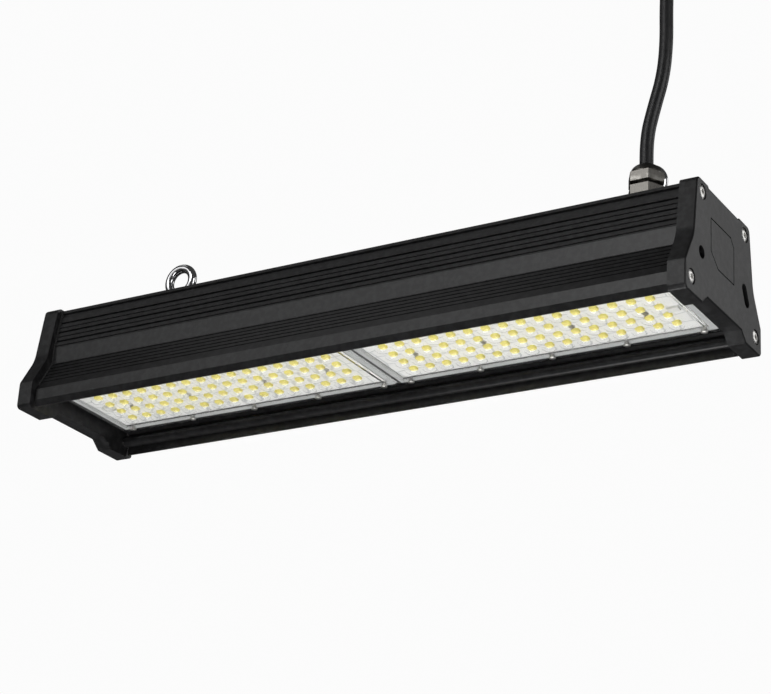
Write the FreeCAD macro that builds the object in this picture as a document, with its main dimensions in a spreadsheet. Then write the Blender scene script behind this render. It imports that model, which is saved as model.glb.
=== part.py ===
import FreeCAD, Part
import math
import os
import re
import sys

import Sketcher

from FreeCAD import Placement, Rotation, Vector

# Linear high bay light: an extruded heat sink closed by two cast end caps, with two LED modules
# behind lens plates in its lower recess, a driver in its upper chamber, two eyebolts to hang it
# from and a gland that takes the supply cable down from the ceiling.
# Millimetres. X runs along the light, Z is up, and the end caps' feet stand on Z = 0.

SIZES = {
    # whole light
    "overall_length": 570.0,
    "end_cap_thickness": 13.5,
    "gasket_thickness": 1.5,
    "slip": 0.1,                    # clearance all round between a part and what it slips into
    # heat sink extrusion, half widths from the middle
    "housing_top": 91.0,
    "housing_bottom": 1.5,
    "top_half": 41.5,
    "band_half": 46.4,
    "band_top": 56.5,
    "band_bottom": 43.0,
    "lip_half": 62.0,
    "lip_top": 15.5,
    "lip_edge_height": 5.0,
    "lip_edge_bevel": 1.4,
    "wall": 3.0,
    "deck_bottom": 20.5,
    "deck_thickness": 4.0,
    "eye_strip_half": 7.0,
    "eye_strip_bottom": 82.0,
    "port_diameter": 9.0,
    "port_bore": 5.2,
    # fine grooves along both flanks
    "top_groove_height": 4.0,
    "top_groove_drop": 2.5,
    "top_groove_depth": 1.9,
    "rib_pitch": 8.3,
    "rib_start": 11.2,
    "rib_rows": 3,
    "wide_groove": 1.7,
    "wide_groove_depth": 1.5,
    "fine_groove": 0.9,
    "fine_groove_depth": 0.8,
    "flare_groove": 1.1,
    "flare_groove_depth": 1.0,
    "flare_groove_pitch": 4.3,
    "flare_groove_rows": 6,
    # cast end cap
    "cap_height": 92.5,
    "cap_top_half": 46.2,
    "cap_waist_half": 52.4,
    "cap_waist_height": 45.5,
    "cap_half": 66.0,
    "cap_crease_height": 21.5,
    "cap_foot_inner": 38.0,
    "cap_arch_half": 29.5,
    "cap_arch_height": 7.1,
    "cap_pad_inner": 28.0,
    "cap_pad_step": 1.5,
    "cap_top_round": 5.0,
    "cap_waist_round": 30.0,
    "cap_foot_round": 3.5,
    "cap_edge_round": 1.2,
    "panel_left": -24.0,
    "panel_right": 17.0,
    "panel_top": 70.0,
    "panel_bottom": 35.0,
    "panel_low_cut": 12.5,
    "panel_low_rise": 0.75,         # height of the low cut, as a share of its width
    "panel_high_cut": 6.0,
    "panel_groove": 1.0,
    "panel_groove_depth": 1.2,
    "pivot_bore": 9.5,
    "pivot_offset": 39.5,
    "pivot_height": 36.7,
    "bracket_depth": 10.0,
    "slot_width": 8.5,
    "slot_length": 17.8,
    "slot_offset": 37.5,
    "slot_height": 36.0,
    "slot_lean": 27.0,
    # end cap screws
    "cap_screw_diameter": 5.0,
    "cap_screw_head": 10.6,
    "cap_screw_head_height": 2.7,
    "cap_screw_reach": 14.0,
    "cap_screw_socket": 4.0,
    "cap_screw_socket_depth": 1.8,
    "cap_counterbore": 11.4,
    "cap_counterbore_depth": 2.8,
    "upper_screw_offset": 37.3,
    "upper_screw_height": 83.3,
    "lower_screw_offset": 55.8,
    "lower_screw_height": 11.8,
    "screw_edge_share": 0.7,        # height of a screw head's straight edge, as a share of the head
    "screw_dome_share": 0.75,       # radius of a screw head's dome, as a share of its diameter
    # LED modules
    "module_end_gap": 7.0,          # from the end of the heat sink to a lens plate
    "module_middle_gap": 2.5,       # between the two lens plates
    "board_end_gap": 6.75,          # from the end of a lens plate to its board
    "board_width": 74.0,
    "board_thickness": 1.6,
    "led_columns": 16,
    "led_rows": 4,
    "led_end_margin": 16.9,         # from the end of a board to its last column of LEDs
    "led_row_pitch": 15.0,
    "led_size": 4.0,
    "led_height": 0.7,
    "board_screw_diameter": 3.0,
    "board_screw_head": 5.5,
    "board_screw_head_height": 1.2,
    "board_screw_reach": 3.0,
    "connector_length": 9.0,
    "connector_width": 6.0,
    "connector_height": 1.8,
    "connector_inset": 5.0,
    # lens plates
    "lens_width": 90.0,
    "lens_rim_thickness": 2.5,
    "lens_rim_width": 7.0,
    "lens_face_drop": 4.0,
    "lens_wall": 1.8,
    "lens_dome_diameter": 11.6,
    "lens_dome_height": 2.3,
    "lens_gasket_width": 6.0,
    "lens_gasket_thickness": 1.8,
    "lens_screw_columns": 5,
    "lens_screw_end": 10.75,
    "lens_screw_offset": 41.2,
    "lens_screw_diameter": 3.0,
    "lens_screw_head": 5.4,
    "lens_screw_head_height": 1.6,
    "lens_screw_reach": 3.0,
    # eyebolts
    "left_eye_end": 84.0,           # from the end of the heat sink
    "right_eye_end": 43.0,
    "eye_ring_radius": 11.3,
    "eye_wire": 7.2,
    "eye_thread": 8.0,
    "eye_thread_reach": 12.0,
    "eye_collar": 16.0,
    "eye_collar_height": 2.5,
    "eye_neck": 9.0,
    "eye_neck_height": 2.5,
    "eye_nut_flats": 13.0,
    "eye_nut_height": 6.5,
    "eye_washer": 16.0,
    "eye_washer_thickness": 1.6,
    # cable gland
    "gland_end": 33.8,              # from the end of the heat sink
    "gland_offset": -23.5,
    "gland_thread": 20.0,
    "gland_thread_length": 8.0,
    "gland_flats": 24.0,
    "gland_hex_height": 8.8,
    "gland_shoulder": 21.6,
    "gland_shoulder_height": 3.1,
    "gland_neck": 17.0,
    "gland_neck_height": 6.5,
    "gland_washer": 22.8,
    "gland_washer_thickness": 1.5,
    "gland_bore": 11.4,
    "gland_nut_hex_height": 7.4,
    "gland_dome_height": 6.9,
    "gland_dome_bulge": 1.15,       # radius of the nut's dome, as a share of its height
    "gland_dome_mouth": 15.0,
    "gland_seal_height": 4.5,
    # supply cable and ceiling rose
    "cable_diameter": 10.0,
    "rose_bottom": 292.0,
    "rose_height": 24.0,
    "rose_diameter": 72.0,
    "rose_wall": 2.5,
    "rose_base_thickness": 4.0,
    "grip_diameter": 20.0,
    "grip_height": 8.0,
    # driver
    "driver_end": 160.0,            # from the end of the heat sink to its middle
    "driver_length": 170.0,
    "driver_width": 64.0,
    "driver_height": 36.0,
    "driver_wall": 2.0,
    "driver_tab": 12.0,
    "driver_tab_hole": 4.6,
    "driver_tab_spread": 40.0,
    "driver_post": 6.0,
    "driver_post_height": 4.0,
    "driver_board_thickness": 1.6,
    "driver_board_gap": 1.5,
    "driver_screw_diameter": 4.0,
    "driver_screw_head": 7.6,
    "driver_screw_head_height": 2.6,
    "driver_screw_reach": 3.2,
    "transformer_length": 34.0,
    "transformer_width": 30.0,
    "transformer_height": 24.0,
    "transformer_end": 63.0,        # from the driver's right end to its middle
    "winding_diameter": 26.0,
    "winding_height": 12.0,
    "capacitor_diameter": 16.0,
    "capacitor_height": 25.0,
    "capacitor_pitch": 20.0,
    "capacitor_end": 45.0,          # from the driver's left end to their middle
    # terminal block and wires
    "terminal_end": 34.0,           # from the end of the heat sink to its middle
    "terminal_length": 16.0,
    "terminal_width": 32.0,
    "terminal_height": 18.0,
    "terminal_pole_pitch": 10.0,
    "terminal_mouth": 4.4,
    "terminal_mouth_depth": 6.0,
    "core_diameter": 2.6,
    "core_straight": 9.0,
    "core_spread": 16.0,
    "wire_diameter": 2.4,
    "lead_straight": 9.0,
    "lead_drop_run": 30.0,
    "lead_dip_run": 17.0,
    "lead_dip": 4.0,
    "lead_runs": 4,
    "lead_sway": 3.0,
    "lead_hump_run": 22.0,
    "lead_rise_run": 9.0,
    "lead_hump": 3.0,
    "lead_rise": 2.0,
    "wire_hole": 3.4,
}

# The cable's route: how far along X from the gland, and how high.
# Straight up out of the gland, a slack lean to the right, and upright again to the ceiling rose.
CABLE_ROUTE = [
    (0.0, 80.0), (0.0, 110.0), (-0.2, 143.0), (5.2, 165.0), (12.4, 190.0),
    (14.7, 217.0), (14.3, 246.0), (15.1, 272.0), (14.8, 296.0),
]
LEAST_BEND = 5.0                    # tightest bend of the cable, in diameters
ROUTE_ROUNDING = 0.45               # share of the shorter run that a wire's bend takes up
VOLUME_SLACK = 0.001                # how far a tube's volume may be from section times length
CLOSE = 0.01                        # points nearer than this are taken as the same, in millimetres
NEARLY_ALONG = 0.999                # cosine of an edge's angle to X that still counts as along it

doc = FreeCAD.newDocument("HighBayLight")
sheet = doc.addObject("Spreadsheet::Sheet", "Sizes")
made = {}


def fill_sheet():
    """Write every size into the sheet, one named cell to a row."""
    for row, (name, size) in enumerate(SIZES.items(), start=1):
        sheet.set(f"A{row}", name)
        sheet.set(f"B{row}", repr(size))
        sheet.setAlias(f"B{row}", name)
    doc.recompute()


def formula(rule):
    """Turn a rule in the sheet's names, such as 'wall / 2', into an expression."""
    def spell(word):
        return "Sizes." + word.group() if word.group() in SIZES else word.group()
    return re.sub(r"[a-z][a-z_]*", spell, str(rule))


def size(rule):
    """Return the present value of a rule."""
    return float(sheet.evalExpression(formula(rule)))


def bind(thing, prop, rule):
    """Tie a property of an object to a rule."""
    thing.setExpression(prop, formula(rule))


def keep(thing, name):
    """Give a finished sub-part its name and put it on the list to be written."""
    thing.Label = name
    made[name] = thing
    return thing


def new_body(name, x="0", y="0", z="0", turn=0.0):
    """Start a body at a place given by rules, turned about the upright axis."""
    body = doc.addObject("PartDesign::Body", name)
    body.Placement = Placement(Vector(size(x), size(y), size(z)), Rotation(Vector(0, 0, 1), turn))
    for axis, rule in zip("xyz", (x, y, z)):
        bind(body, ".Placement.Base." + axis, rule)
    return body


def new_sketch(body, name, plane, offset="0", across="0"):
    """Lay a sketch on one of the body's origin planes, moved by rules along its normal and its X."""
    sketch = body.newObject("Sketcher::SketchObject", name)
    face = next(part for part in body.Origin.OriginFeatures if part.Role == plane)
    sketch.AttachmentSupport = (face, "")
    sketch.MapMode = "FlatFace"
    bind(sketch, ".AttachmentOffset.Base.z", offset)
    bind(sketch, ".AttachmentOffset.Base.x", across)
    doc.recompute()
    return sketch


def fix_point(sketch, shape, point, x, y):
    """Hold a point of a sketch at a place given by two rules."""
    for kind, rule in (("DistanceX", x), ("DistanceY", y)):
        row = sketch.addConstraint(Sketcher.Constraint(kind, -1, 1, shape, point, size(rule)))
        bind(sketch, f"Constraints[{row}]", rule)


def side_of_outline(here, there, bulge):
    """Make one side of an outline: a line, or an arc with its middle on the left if bulge is positive."""
    if not bulge:
        return Part.LineSegment(here, there)
    chord = there - here
    left = Vector(-chord.y, chord.x, 0).normalize()
    middle = (here + there) * 0.5 + left * math.copysign(
        math.sqrt(bulge ** 2 - chord.Length ** 2 / 4), bulge)
    ends = (here, there) if bulge > 0 else (there, here)
    angles = [math.atan2(end.y - middle.y, end.x - middle.x) for end in ends]
    return Part.ArcOfCircle(Part.Circle(middle, Vector(0, 0, 1), abs(bulge)), *angles)


def draw_outline(sketch, corners, bulges=None):
    """Draw a closed outline through corners, each a pair of rules.

    Bulges gives the arc radius of the sides that aren't straight, negative for a clockwise arc.
    """
    bulges = bulges or {}
    spots = [Vector(size(x), size(y), 0) for x, y in corners]
    sides = []
    for row, (here, there) in enumerate(zip(spots, spots[1:] + spots[:1])):
        bulge = size(bulges[row]) if row in bulges else 0.0
        shape = sketch.addGeometry(side_of_outline(here, there, bulge), False)
        sides.append((shape, 2, 1) if bulge < 0 else (shape, 1, 2))
        if bulge:
            held = sketch.addConstraint(Sketcher.Constraint("Radius", shape, abs(bulge)))
            bind(sketch, f"Constraints[{held}]", f"abs({bulges[row]})")
    for (shape, start, end), (follower, its_start, its_end) in zip(sides, sides[1:] + sides[:1]):
        sketch.addConstraint(Sketcher.Constraint("Coincident", shape, end, follower, its_start))
    for (shape, start, end), (x, y) in zip(sides, corners):
        fix_point(sketch, shape, start, x, y)


def draw_rectangle(sketch, x, y, width, depth):
    """Draw a rectangle about a middle point."""
    left, right = f"{x} - ({width}) / 2", f"{x} + ({width}) / 2"
    low, high = f"{y} - ({depth}) / 2", f"{y} + ({depth}) / 2"
    draw_outline(sketch, [(left, low), (right, low), (right, high), (left, high)])


def draw_circle(sketch, x, y, diameter):
    """Draw a circle about a point."""
    row = sketch.addGeometry(Part.Circle(Vector(size(x), size(y), 0), Vector(0, 0, 1),
                                         size(diameter) / 2), False)
    fix_point(sketch, row, 3, x, y)
    held = sketch.addConstraint(Sketcher.Constraint("Diameter", row, size(diameter)))
    bind(sketch, f"Constraints[{held}]", diameter)


def draw_hexagon(sketch, flats):
    """Draw a hexagon about the sketch's origin, with two flats parallel to its X axis."""
    corner = f"({flats}) / sqrt(3)"
    half = f"({flats}) / 2"
    short = f"({flats}) / sqrt(12)"
    draw_outline(sketch, [(corner, "0"), (short, half), (f"-{short}", half), (f"-{corner}", "0"),
                          (f"-{short}", f"-{half}"), (short, f"-{half}")])


def add_pad(body, sketch, height, midplane=False, reverse=False):
    """Raise a sketch into a solid."""
    pad = body.newObject("PartDesign::Pad", sketch.Name + "Pad")
    pad.Profile = sketch
    pad.SideType = "Symmetric" if midplane else "One side"
    pad.Reversed = reverse
    bind(pad, "Length", height)
    doc.recompute()
    return pad


def add_pocket(body, sketch, depth, midplane=False, reverse=False):
    """Cut a sketch into a body, and stop if nothing was cut away."""
    before = body.Shape.Volume
    pocket = body.newObject("PartDesign::Pocket", sketch.Name + "Cut")
    pocket.Profile = sketch
    pocket.SideType = "Symmetric" if midplane else "One side"
    pocket.Reversed = reverse
    bind(pocket, "Length", depth)
    doc.recompute()
    if body.Shape.Volume >= before:
        sys.exit(f"{pocket.Name} cuts nothing")
    return pocket


def add_turn(body, sketch, kind):
    """Turn a sketch about its own vertical axis, as a Revolution or a Groove."""
    turned = body.newObject("PartDesign::" + kind, sketch.Name + "Turn")
    turned.Profile = sketch
    turned.ReferenceAxis = (sketch, ["V_Axis"])
    turned.Angle = 360.0
    doc.recompute()
    return turned


def add_mirror(body, features, plane):
    """Repeat features on the other side of one of the body's origin planes."""
    mirror = body.newObject("PartDesign::Mirrored", features[0].Name + "Mirror")
    mirror.Originals = features
    mirror.MirrorPlane = (next(part for part in body.Origin.OriginFeatures if part.Role == plane), [""])
    body.Tip = mirror
    doc.recompute()
    return mirror


def add_fillet(body, base, test, radius, name):
    """Round the edges of a feature that pass a test on their middle point and direction."""
    names = []
    for number, edge in enumerate(base.Shape.Edges, start=1):
        middle = edge.valueAt((edge.FirstParameter + edge.LastParameter) / 2)
        if test(edge, middle):
            names.append(f"Edge{number}")
    if not names:
        sys.exit(f"{name} finds no edge to round")
    fillet = body.newObject("PartDesign::Fillet", name)
    fillet.Base = (base, names)
    bind(fillet, "Radius", radius)
    doc.recompute()
    return fillet


def runs_along_x(edge):
    """Tell whether an edge is straight and parallel to X."""
    return edge.Curve.TypeId == "Part::GeomLine" and abs(edge.tangentAt(edge.FirstParameter).x) > NEARLY_ALONG


def group(name, shape, places):
    """Make one sub-part of separate like solids, one at each placement."""
    solids = []
    for place in places:
        copy = shape.copy()
        copy.Placement = place.multiply(copy.Placement)
        solids.append(copy)
    feature = doc.addObject("Part::Feature", name)
    feature.Shape = Part.makeCompound(solids)
    return keep(feature, name)


# ---------------------------------------------------------------- heat sink extrusion

GASKET_FACE = "overall_length / 2 - end_cap_thickness"
HALF_HOUSING = "(overall_length / 2 - end_cap_thickness - gasket_thickness)"
HOUSING_LENGTH = f"2 * {HALF_HOUSING}"
LENS_LENGTH = f"({HALF_HOUSING} - module_end_gap - module_middle_gap / 2)"
MODULE_OFFSET = f"(module_middle_gap / 2 + {LENS_LENGTH} / 2)"
BOARD_LENGTH = f"({LENS_LENGTH} - 2 * board_end_gap)"
LED_COLUMN_PITCH = f"(({BOARD_LENGTH} - 2 * led_end_margin) / (led_columns - 1))"
LENS_SCREW_PITCH = f"(({LENS_LENGTH} - 2 * lens_screw_end) / (lens_screw_columns - 1))"
EYE_PLACES = {"left": f"(left_eye_end - {HALF_HOUSING})", "right": f"({HALF_HOUSING} - right_eye_end)"}
GLAND_PLACE = f"({HALF_HOUSING} - gland_end)"
DRIVER_PLACE = f"({HALF_HOUSING} - driver_end)"
TERMINAL_PLACE = f"({HALF_HOUSING} - terminal_end)"
TRANSFORMER_PLACE = f"({DRIVER_PLACE} + driver_length / 2 - transformer_end)"
CAPACITOR_PLACE = f"({DRIVER_PLACE} - driver_length / 2 + capacitor_end)"
DECK_TOP = "(deck_bottom + deck_thickness)"
FLARE_LEAN = "(lip_half - band_half) / (band_bottom - lip_top)"
FLARE_ANGLE = f"atan({FLARE_LEAN})"
FLANK_LEAN = "(band_half - top_half) / (housing_top - band_top)"
WALL_IN_FLARE = f"(band_half - wall / cos({FLARE_ANGLE}))"
MODULE_SIDES = {"left": -1, "right": 1}


def mirrored_outline(half):
    """Complete an outline from its right half, listed upwards from the bottom."""
    return half + [(f"-({x})", y) for x, y in reversed(half)]


def flare_inside(height):
    """Give the half width inside the flared wall at a height."""
    return f"{WALL_IN_FLARE} + (band_bottom - ({height})) * {FLARE_LEAN}"


def cut_flank_grooves(body):
    """Cut the fine lengthwise grooves into the right flank and repeat them on the left."""
    sketch = new_sketch(body, "FlankGrooves", "YZ_Plane")
    edge = f"(top_half + ({{drop}}) * {FLANK_LEAN})"

    def flank_groove(drop, width, depth):
        rows = [f"({drop}) - ({width}) / 2", f"({drop}) + ({width}) / 2"]
        outside = [(edge.format(drop=row) + " + wall", f"housing_top - ({row})") for row in rows]
        inside = [(edge.format(drop=row) + f" - {depth}", f"housing_top - ({row})") for row in rows]
        draw_outline(sketch, [outside[0], inside[0], inside[1], outside[1]])

    flank_groove("top_groove_drop + top_groove_height / 2", "top_groove_height", "top_groove_depth")
    for rib in range(int(size("rib_rows"))):
        flank_groove(f"rib_start + {rib} * rib_pitch + top_groove_drop - wide_groove", "wide_groove",
                     "wide_groove_depth")
        flank_groove(f"rib_start + ({rib} + 0.5) * rib_pitch + top_groove_drop - wide_groove",
                     "fine_groove", "fine_groove_depth")
    slope_x, slope_y = f"sin({FLARE_ANGLE})", f"cos({FLARE_ANGLE})"
    for row in range(int(size("flare_groove_rows"))):
        along = f"(flare_groove + {row} * flare_groove_pitch)"
        corners = []
        for step, deep in (("0", "-wall"), ("0", "flare_groove_depth"),
                           ("flare_groove", "flare_groove_depth"), ("flare_groove", "-wall")):
            reach = f"({along} + {step})"
            corners.append((f"band_half + {reach} * {slope_x} - ({deep}) * {slope_y}",
                            f"band_bottom - {reach} * {slope_y} - ({deep}) * {slope_x}"))
        draw_outline(sketch, corners)
    cut = add_pocket(body, sketch, "overall_length", midplane=True)
    return add_mirror(body, [cut], "XZ_Plane")


def build_housing():
    """Extrude the heat sink, then cut its chamber, lamp recess, grooves and holes."""
    body = new_body("HeatSinkHousing")
    outline = new_sketch(body, "Outline", "YZ_Plane")
    draw_outline(outline, mirrored_outline([
        ("lip_half - lip_edge_bevel", "housing_bottom"),
        ("lip_half", "housing_bottom + lip_edge_height"),
        ("lip_half", "lip_top"),
        ("band_half", "band_bottom"),
        ("band_half", "band_top"),
        ("top_half", "housing_top"),
    ]))
    add_pad(body, outline, HOUSING_LENGTH, midplane=True)

    chamber = new_sketch(body, "DriverChamber", "YZ_Plane")
    draw_outline(chamber, mirrored_outline([
        (flare_inside(DECK_TOP), DECK_TOP),
        ("band_half - wall", f"band_bottom - wall * tan({FLARE_ANGLE} / 2)"),
        ("band_half - wall", "band_top"),
        ("top_half - wall", "housing_top - wall"),
        ("eye_strip_half", "housing_top - wall"),
        ("eye_strip_half", "eye_strip_bottom"),
    ]))
    add_pocket(body, chamber, "overall_length", midplane=True)

    recess = new_sketch(body, "LampRecess", "YZ_Plane")
    draw_outline(recess, mirrored_outline([
        ("lip_half - wall", "housing_bottom - wall"),
        ("lip_half - wall", f"lip_top - wall * tan({FLARE_ANGLE} / 2)"),
        (flare_inside("deck_bottom"), "deck_bottom"),
    ]))
    add_pocket(body, recess, "overall_length", midplane=True)

    ports = new_sketch(body, "ScrewPorts", "YZ_Plane")
    bores = new_sketch(body, "PortBores", "YZ_Plane")
    for side in ("", "-"):
        for place, height in (("upper_screw_offset", "upper_screw_height"),
                              ("lower_screw_offset", "lower_screw_height")):
            draw_circle(ports, side + place, height, "port_diameter")
            draw_circle(bores, side + place, height, "port_bore")
    add_pad(body, ports, HOUSING_LENGTH, midplane=True)
    cut_flank_grooves(body)
    add_pocket(body, bores, "overall_length", midplane=True)

    top_holes = new_sketch(body, "TopHoles", "XY_Plane", "housing_top")
    draw_circle(top_holes, GLAND_PLACE, "gland_offset", "gland_thread + 2 * slip")
    for place in EYE_PLACES.values():
        draw_circle(top_holes, place, "0", "eye_thread + 2 * slip")
    add_pocket(body, top_holes, "housing_top - eye_strip_bottom + wall")

    deck_holes = new_sketch(body, "DeckHoles", "XY_Plane", "deck_bottom")
    for side in MODULE_SIDES.values():
        for x, y in lens_screw_places():
            draw_circle(deck_holes, f"{side} * {MODULE_OFFSET} + {x}", y, "lens_screw_diameter + 2 * slip")
        for x in board_screw_places():
            draw_circle(deck_holes, f"{side} * {MODULE_OFFSET} + {x}", "0",
                        "board_screw_diameter + 2 * slip")
    add_pocket(body, deck_holes, "lens_screw_reach + slip", reverse=True)

    through = new_sketch(body, "WireHoles", "XY_Plane", "deck_bottom")
    for side in MODULE_SIDES.values():
        draw_circle(through, f"{side} * ({WIRE_HOLE_PLACE})", "0", "wire_hole")
    for x, y in driver_screw_places():
        draw_circle(through, x, y, "driver_screw_diameter + 2 * slip")
    add_pocket(body, through, "deck_thickness", reverse=True)
    return keep(body, "heat_sink_housing")


# ---------------------------------------------------------------- end caps

CAP_TURNS = {"right": ("1", 0.0), "left": ("-1", 180.0)}
SCREW_SPOTS = [(side + place, height) for side in ("", "-")
               for place, height in (("upper_screw_offset", "upper_screw_height"),
                                     ("lower_screw_offset", "lower_screw_height"))]


def draw_slot(sketch, x, y, length, width, lean):
    """Draw a slot about a middle point, leaning from upright: two half rounds and two flats."""
    reach = f"(({length}) - ({width})) / 2"
    ends = [(f"{x} - {reach} * sin({lean})", f"{y} + {reach} * cos({lean})"),
            (f"{x} + {reach} * sin({lean})", f"{y} - {reach} * cos({lean})")]
    angle = math.radians(size(lean))
    radius = size(width) / 2
    arcs = []
    for (end_x, end_y), start in zip(ends, (angle, angle + math.pi)):
        middle = Vector(size(end_x), size(end_y), 0)
        round_end = Part.ArcOfCircle(Part.Circle(middle, Vector(0, 0, 1), radius), start, start + math.pi)
        arcs.append(sketch.addGeometry(round_end, False))
    for one, other in (arcs, arcs[::-1]):
        flat = Part.LineSegment(sketch.Geometry[one].EndPoint, sketch.Geometry[other].StartPoint)
        row = sketch.addGeometry(flat, False)
        sketch.addConstraint(Sketcher.Constraint("Tangent", one, 2, row, 1))
        sketch.addConstraint(Sketcher.Constraint("Tangent", row, 2, other, 1))
    for arc, (end_x, end_y) in zip(arcs, ends):
        fix_point(sketch, arc, 3, end_x, end_y)
    sketch.addConstraint(Sketcher.Constraint("Equal", arcs[0], arcs[1]))
    held = sketch.addConstraint(Sketcher.Constraint("Radius", arcs[0], radius))
    bind(sketch, f"Constraints[{held}]", f"({width}) / 2")


def panel_outline(inset):
    """List the corners of the cap's plain panel, drawn in from its edge by an inset."""
    low_turn = "atan(panel_low_rise)"
    high_shift = f"(panel_high_cut + {inset} * tan(atan(1) / 2))"
    low_width = f"(panel_low_cut + {inset} * tan({low_turn} / 2))"
    low_height = f"(panel_low_rise * panel_low_cut + {inset} * tan(atan(1 / panel_low_rise) / 2))"
    left, right = f"(panel_left + {inset})", f"(panel_right - {inset})"
    bottom, top = f"(panel_bottom + {inset})", f"(panel_top - {inset})"
    return [(left, f"panel_bottom + {low_height}"), (f"panel_left + {low_width}", bottom),
            (right, bottom), (right, f"panel_top - {high_shift}"),
            (f"panel_right - {high_shift}", top), (left, top)]


def build_end_cap(side):
    """Cast one end cap. Both ends use the same casting, the left one turned half a turn."""
    sign, turn = CAP_TURNS[side]
    body = new_body("EndCap" + side.title(), f"{sign} * ({GASKET_FACE})", turn=turn)
    outline = new_sketch(body, "CapOutline" + side.title(), "YZ_Plane")
    draw_outline(outline, mirrored_outline([
        ("cap_arch_half", "cap_arch_height"),
        ("cap_foot_inner", "0"),
        ("cap_half", "0"),
        ("cap_half", "cap_crease_height"),
        ("cap_waist_half", "cap_waist_height"),
        ("cap_top_half", "cap_height"),
        ("cap_pad_inner", "cap_height"),
        ("cap_pad_inner - cap_pad_step", "cap_height - cap_pad_step"),
    ]))
    blank = add_pad(body, outline, "end_cap_thickness")
    for name, y, z, radius in (("Foot", "cap_half", "0", "cap_foot_round"),
                               ("Crease", "cap_half", "cap_crease_height", "cap_foot_round"),
                               ("Waist", "cap_waist_half", "cap_waist_height", "cap_waist_round"),
                               ("Top", "cap_top_half", "cap_height", "cap_top_round")):
        corner_y, corner_z = size(y), size(z)

        def on_corner(edge, middle):
            return (runs_along_x(edge) and abs(abs(middle.y) - corner_y) < CLOSE
                    and abs(middle.z - corner_z) < CLOSE)
        blank = add_fillet(body, blank, on_corner, radius, f"Cap{name}Round{side.title()}")

    def on_outer_rim(edge, middle):
        return all(abs(vertex.Point.x - size("end_cap_thickness")) < CLOSE for vertex in edge.Vertexes)
    rim = add_fillet(body, blank, on_outer_rim, "cap_edge_round", "CapRimRound" + side.title())

    face = "end_cap_thickness"
    panel = new_sketch(body, "CapPanel" + side.title(), "YZ_Plane", face)
    draw_outline(panel, panel_outline("0"))
    draw_outline(panel, panel_outline("panel_groove"))
    add_pocket(body, panel, "panel_groove_depth")
    bracket = new_sketch(body, "CapBracketHoles" + side.title(), "YZ_Plane", face)
    draw_circle(bracket, "-pivot_offset", "pivot_height", "pivot_bore")
    draw_slot(bracket, "slot_offset", "slot_height", "slot_length", "slot_width", "slot_lean")
    add_pocket(body, bracket, "bracket_depth")
    heads = new_sketch(body, "CapCounterbores" + side.title(), "YZ_Plane", face)
    shanks = new_sketch(body, "CapScrewHoles" + side.title(), "YZ_Plane", face)
    for place, height in SCREW_SPOTS:
        draw_circle(heads, place, height, "cap_counterbore")
        draw_circle(shanks, place, height, "cap_screw_diameter + 2 * slip")
    add_pocket(body, heads, "cap_counterbore_depth")
    add_pocket(body, shanks, "end_cap_thickness")
    return keep(body, "end_cap_" + side)


def build_end_gasket(side):
    """Cut one flat gasket to the heat sink's upper walls, open where the chamber is."""
    sign = MODULE_SIDES[side]
    start = "overall_length / 2 - end_cap_thickness - gasket_thickness"
    body = new_body("EndGasket" + side.title(), f"{sign} * ({start})", turn=0.0 if sign > 0 else 180.0)
    outline = new_sketch(body, "GasketOutline" + side.title(), "YZ_Plane")
    draw_outline(outline, mirrored_outline([
        (f"band_half + (band_bottom - deck_bottom) * {FLARE_LEAN}", "deck_bottom"),
        ("band_half", "band_bottom"),
        ("band_half", "band_top"),
        ("top_half", "housing_top"),
    ]))
    add_pad(body, outline, "gasket_thickness")
    opening = new_sketch(body, "GasketOpening" + side.title(), "YZ_Plane", "gasket_thickness")
    draw_outline(opening, mirrored_outline([
        (flare_inside(DECK_TOP), DECK_TOP),
        ("band_half - wall", f"band_bottom - wall * tan({FLARE_ANGLE} / 2)"),
        ("band_half - wall", "band_top"),
        ("band_half - wall", "upper_screw_height - port_diameter"),
        ("upper_screw_offset - port_diameter", "upper_screw_height - port_diameter"),
        ("upper_screw_offset - port_diameter", "housing_top - wall"),
        ("eye_strip_half", "housing_top - wall"),
        ("eye_strip_half", "eye_strip_bottom"),
    ]))
    add_pocket(body, opening, "gasket_thickness")
    holes = new_sketch(body, "GasketHoles" + side.title(), "YZ_Plane", "gasket_thickness")
    for place in ("upper_screw_offset", "-upper_screw_offset"):
        draw_circle(holes, place, "upper_screw_height", "cap_screw_diameter + 2 * slip")
    add_pocket(body, holes, "gasket_thickness")
    return keep(body, "end_cap_gasket_" + side)


# ---------------------------------------------------------------- screws

def screw_master(name, diameter, reach, head, head_height, socket=None, socket_depth=None):
    """Turn a screw that points down from Z = 0, where its head seats, with a domed head above."""
    body = new_body(name)
    profile = new_sketch(body, name + "Profile", "XZ_Plane")
    edge = f"screw_edge_share * ({head_height})"
    bulge = f"screw_dome_share * ({head})"
    draw_outline(profile, [
        ("0", f"-({reach})"), (f"({diameter}) / 2", f"-({reach})"), (f"({diameter}) / 2", "0"),
        (f"({head}) / 2", "0"), (f"({head}) / 2", edge), (f"({head}) / 4", head_height),
        ("0", head_height)], {4: bulge})
    add_turn(body, profile, "Revolution")
    if socket:
        hexagon = new_sketch(body, name + "Socket", "XY_Plane", head_height)
        draw_hexagon(hexagon, socket)
        add_pocket(body, hexagon, socket_depth)
    return body


def lens_screw_places():
    """List the lens screws' places about a module's middle."""
    return [(f"({column} - (lens_screw_columns - 1) / 2) * {LENS_SCREW_PITCH}", side + "lens_screw_offset")
            for column in range(int(size("lens_screw_columns"))) for side in ("", "-")]


BOARD_SCREW_COLUMNS = (-6.5, -2.5, 2.5, 6.5)    # between columns of LEDs, from a board's middle


def board_screw_places():
    """List the board screws' places along a module's middle line."""
    return [f"{column} * {LED_COLUMN_PITCH}" for column in BOARD_SCREW_COLUMNS]


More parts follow.
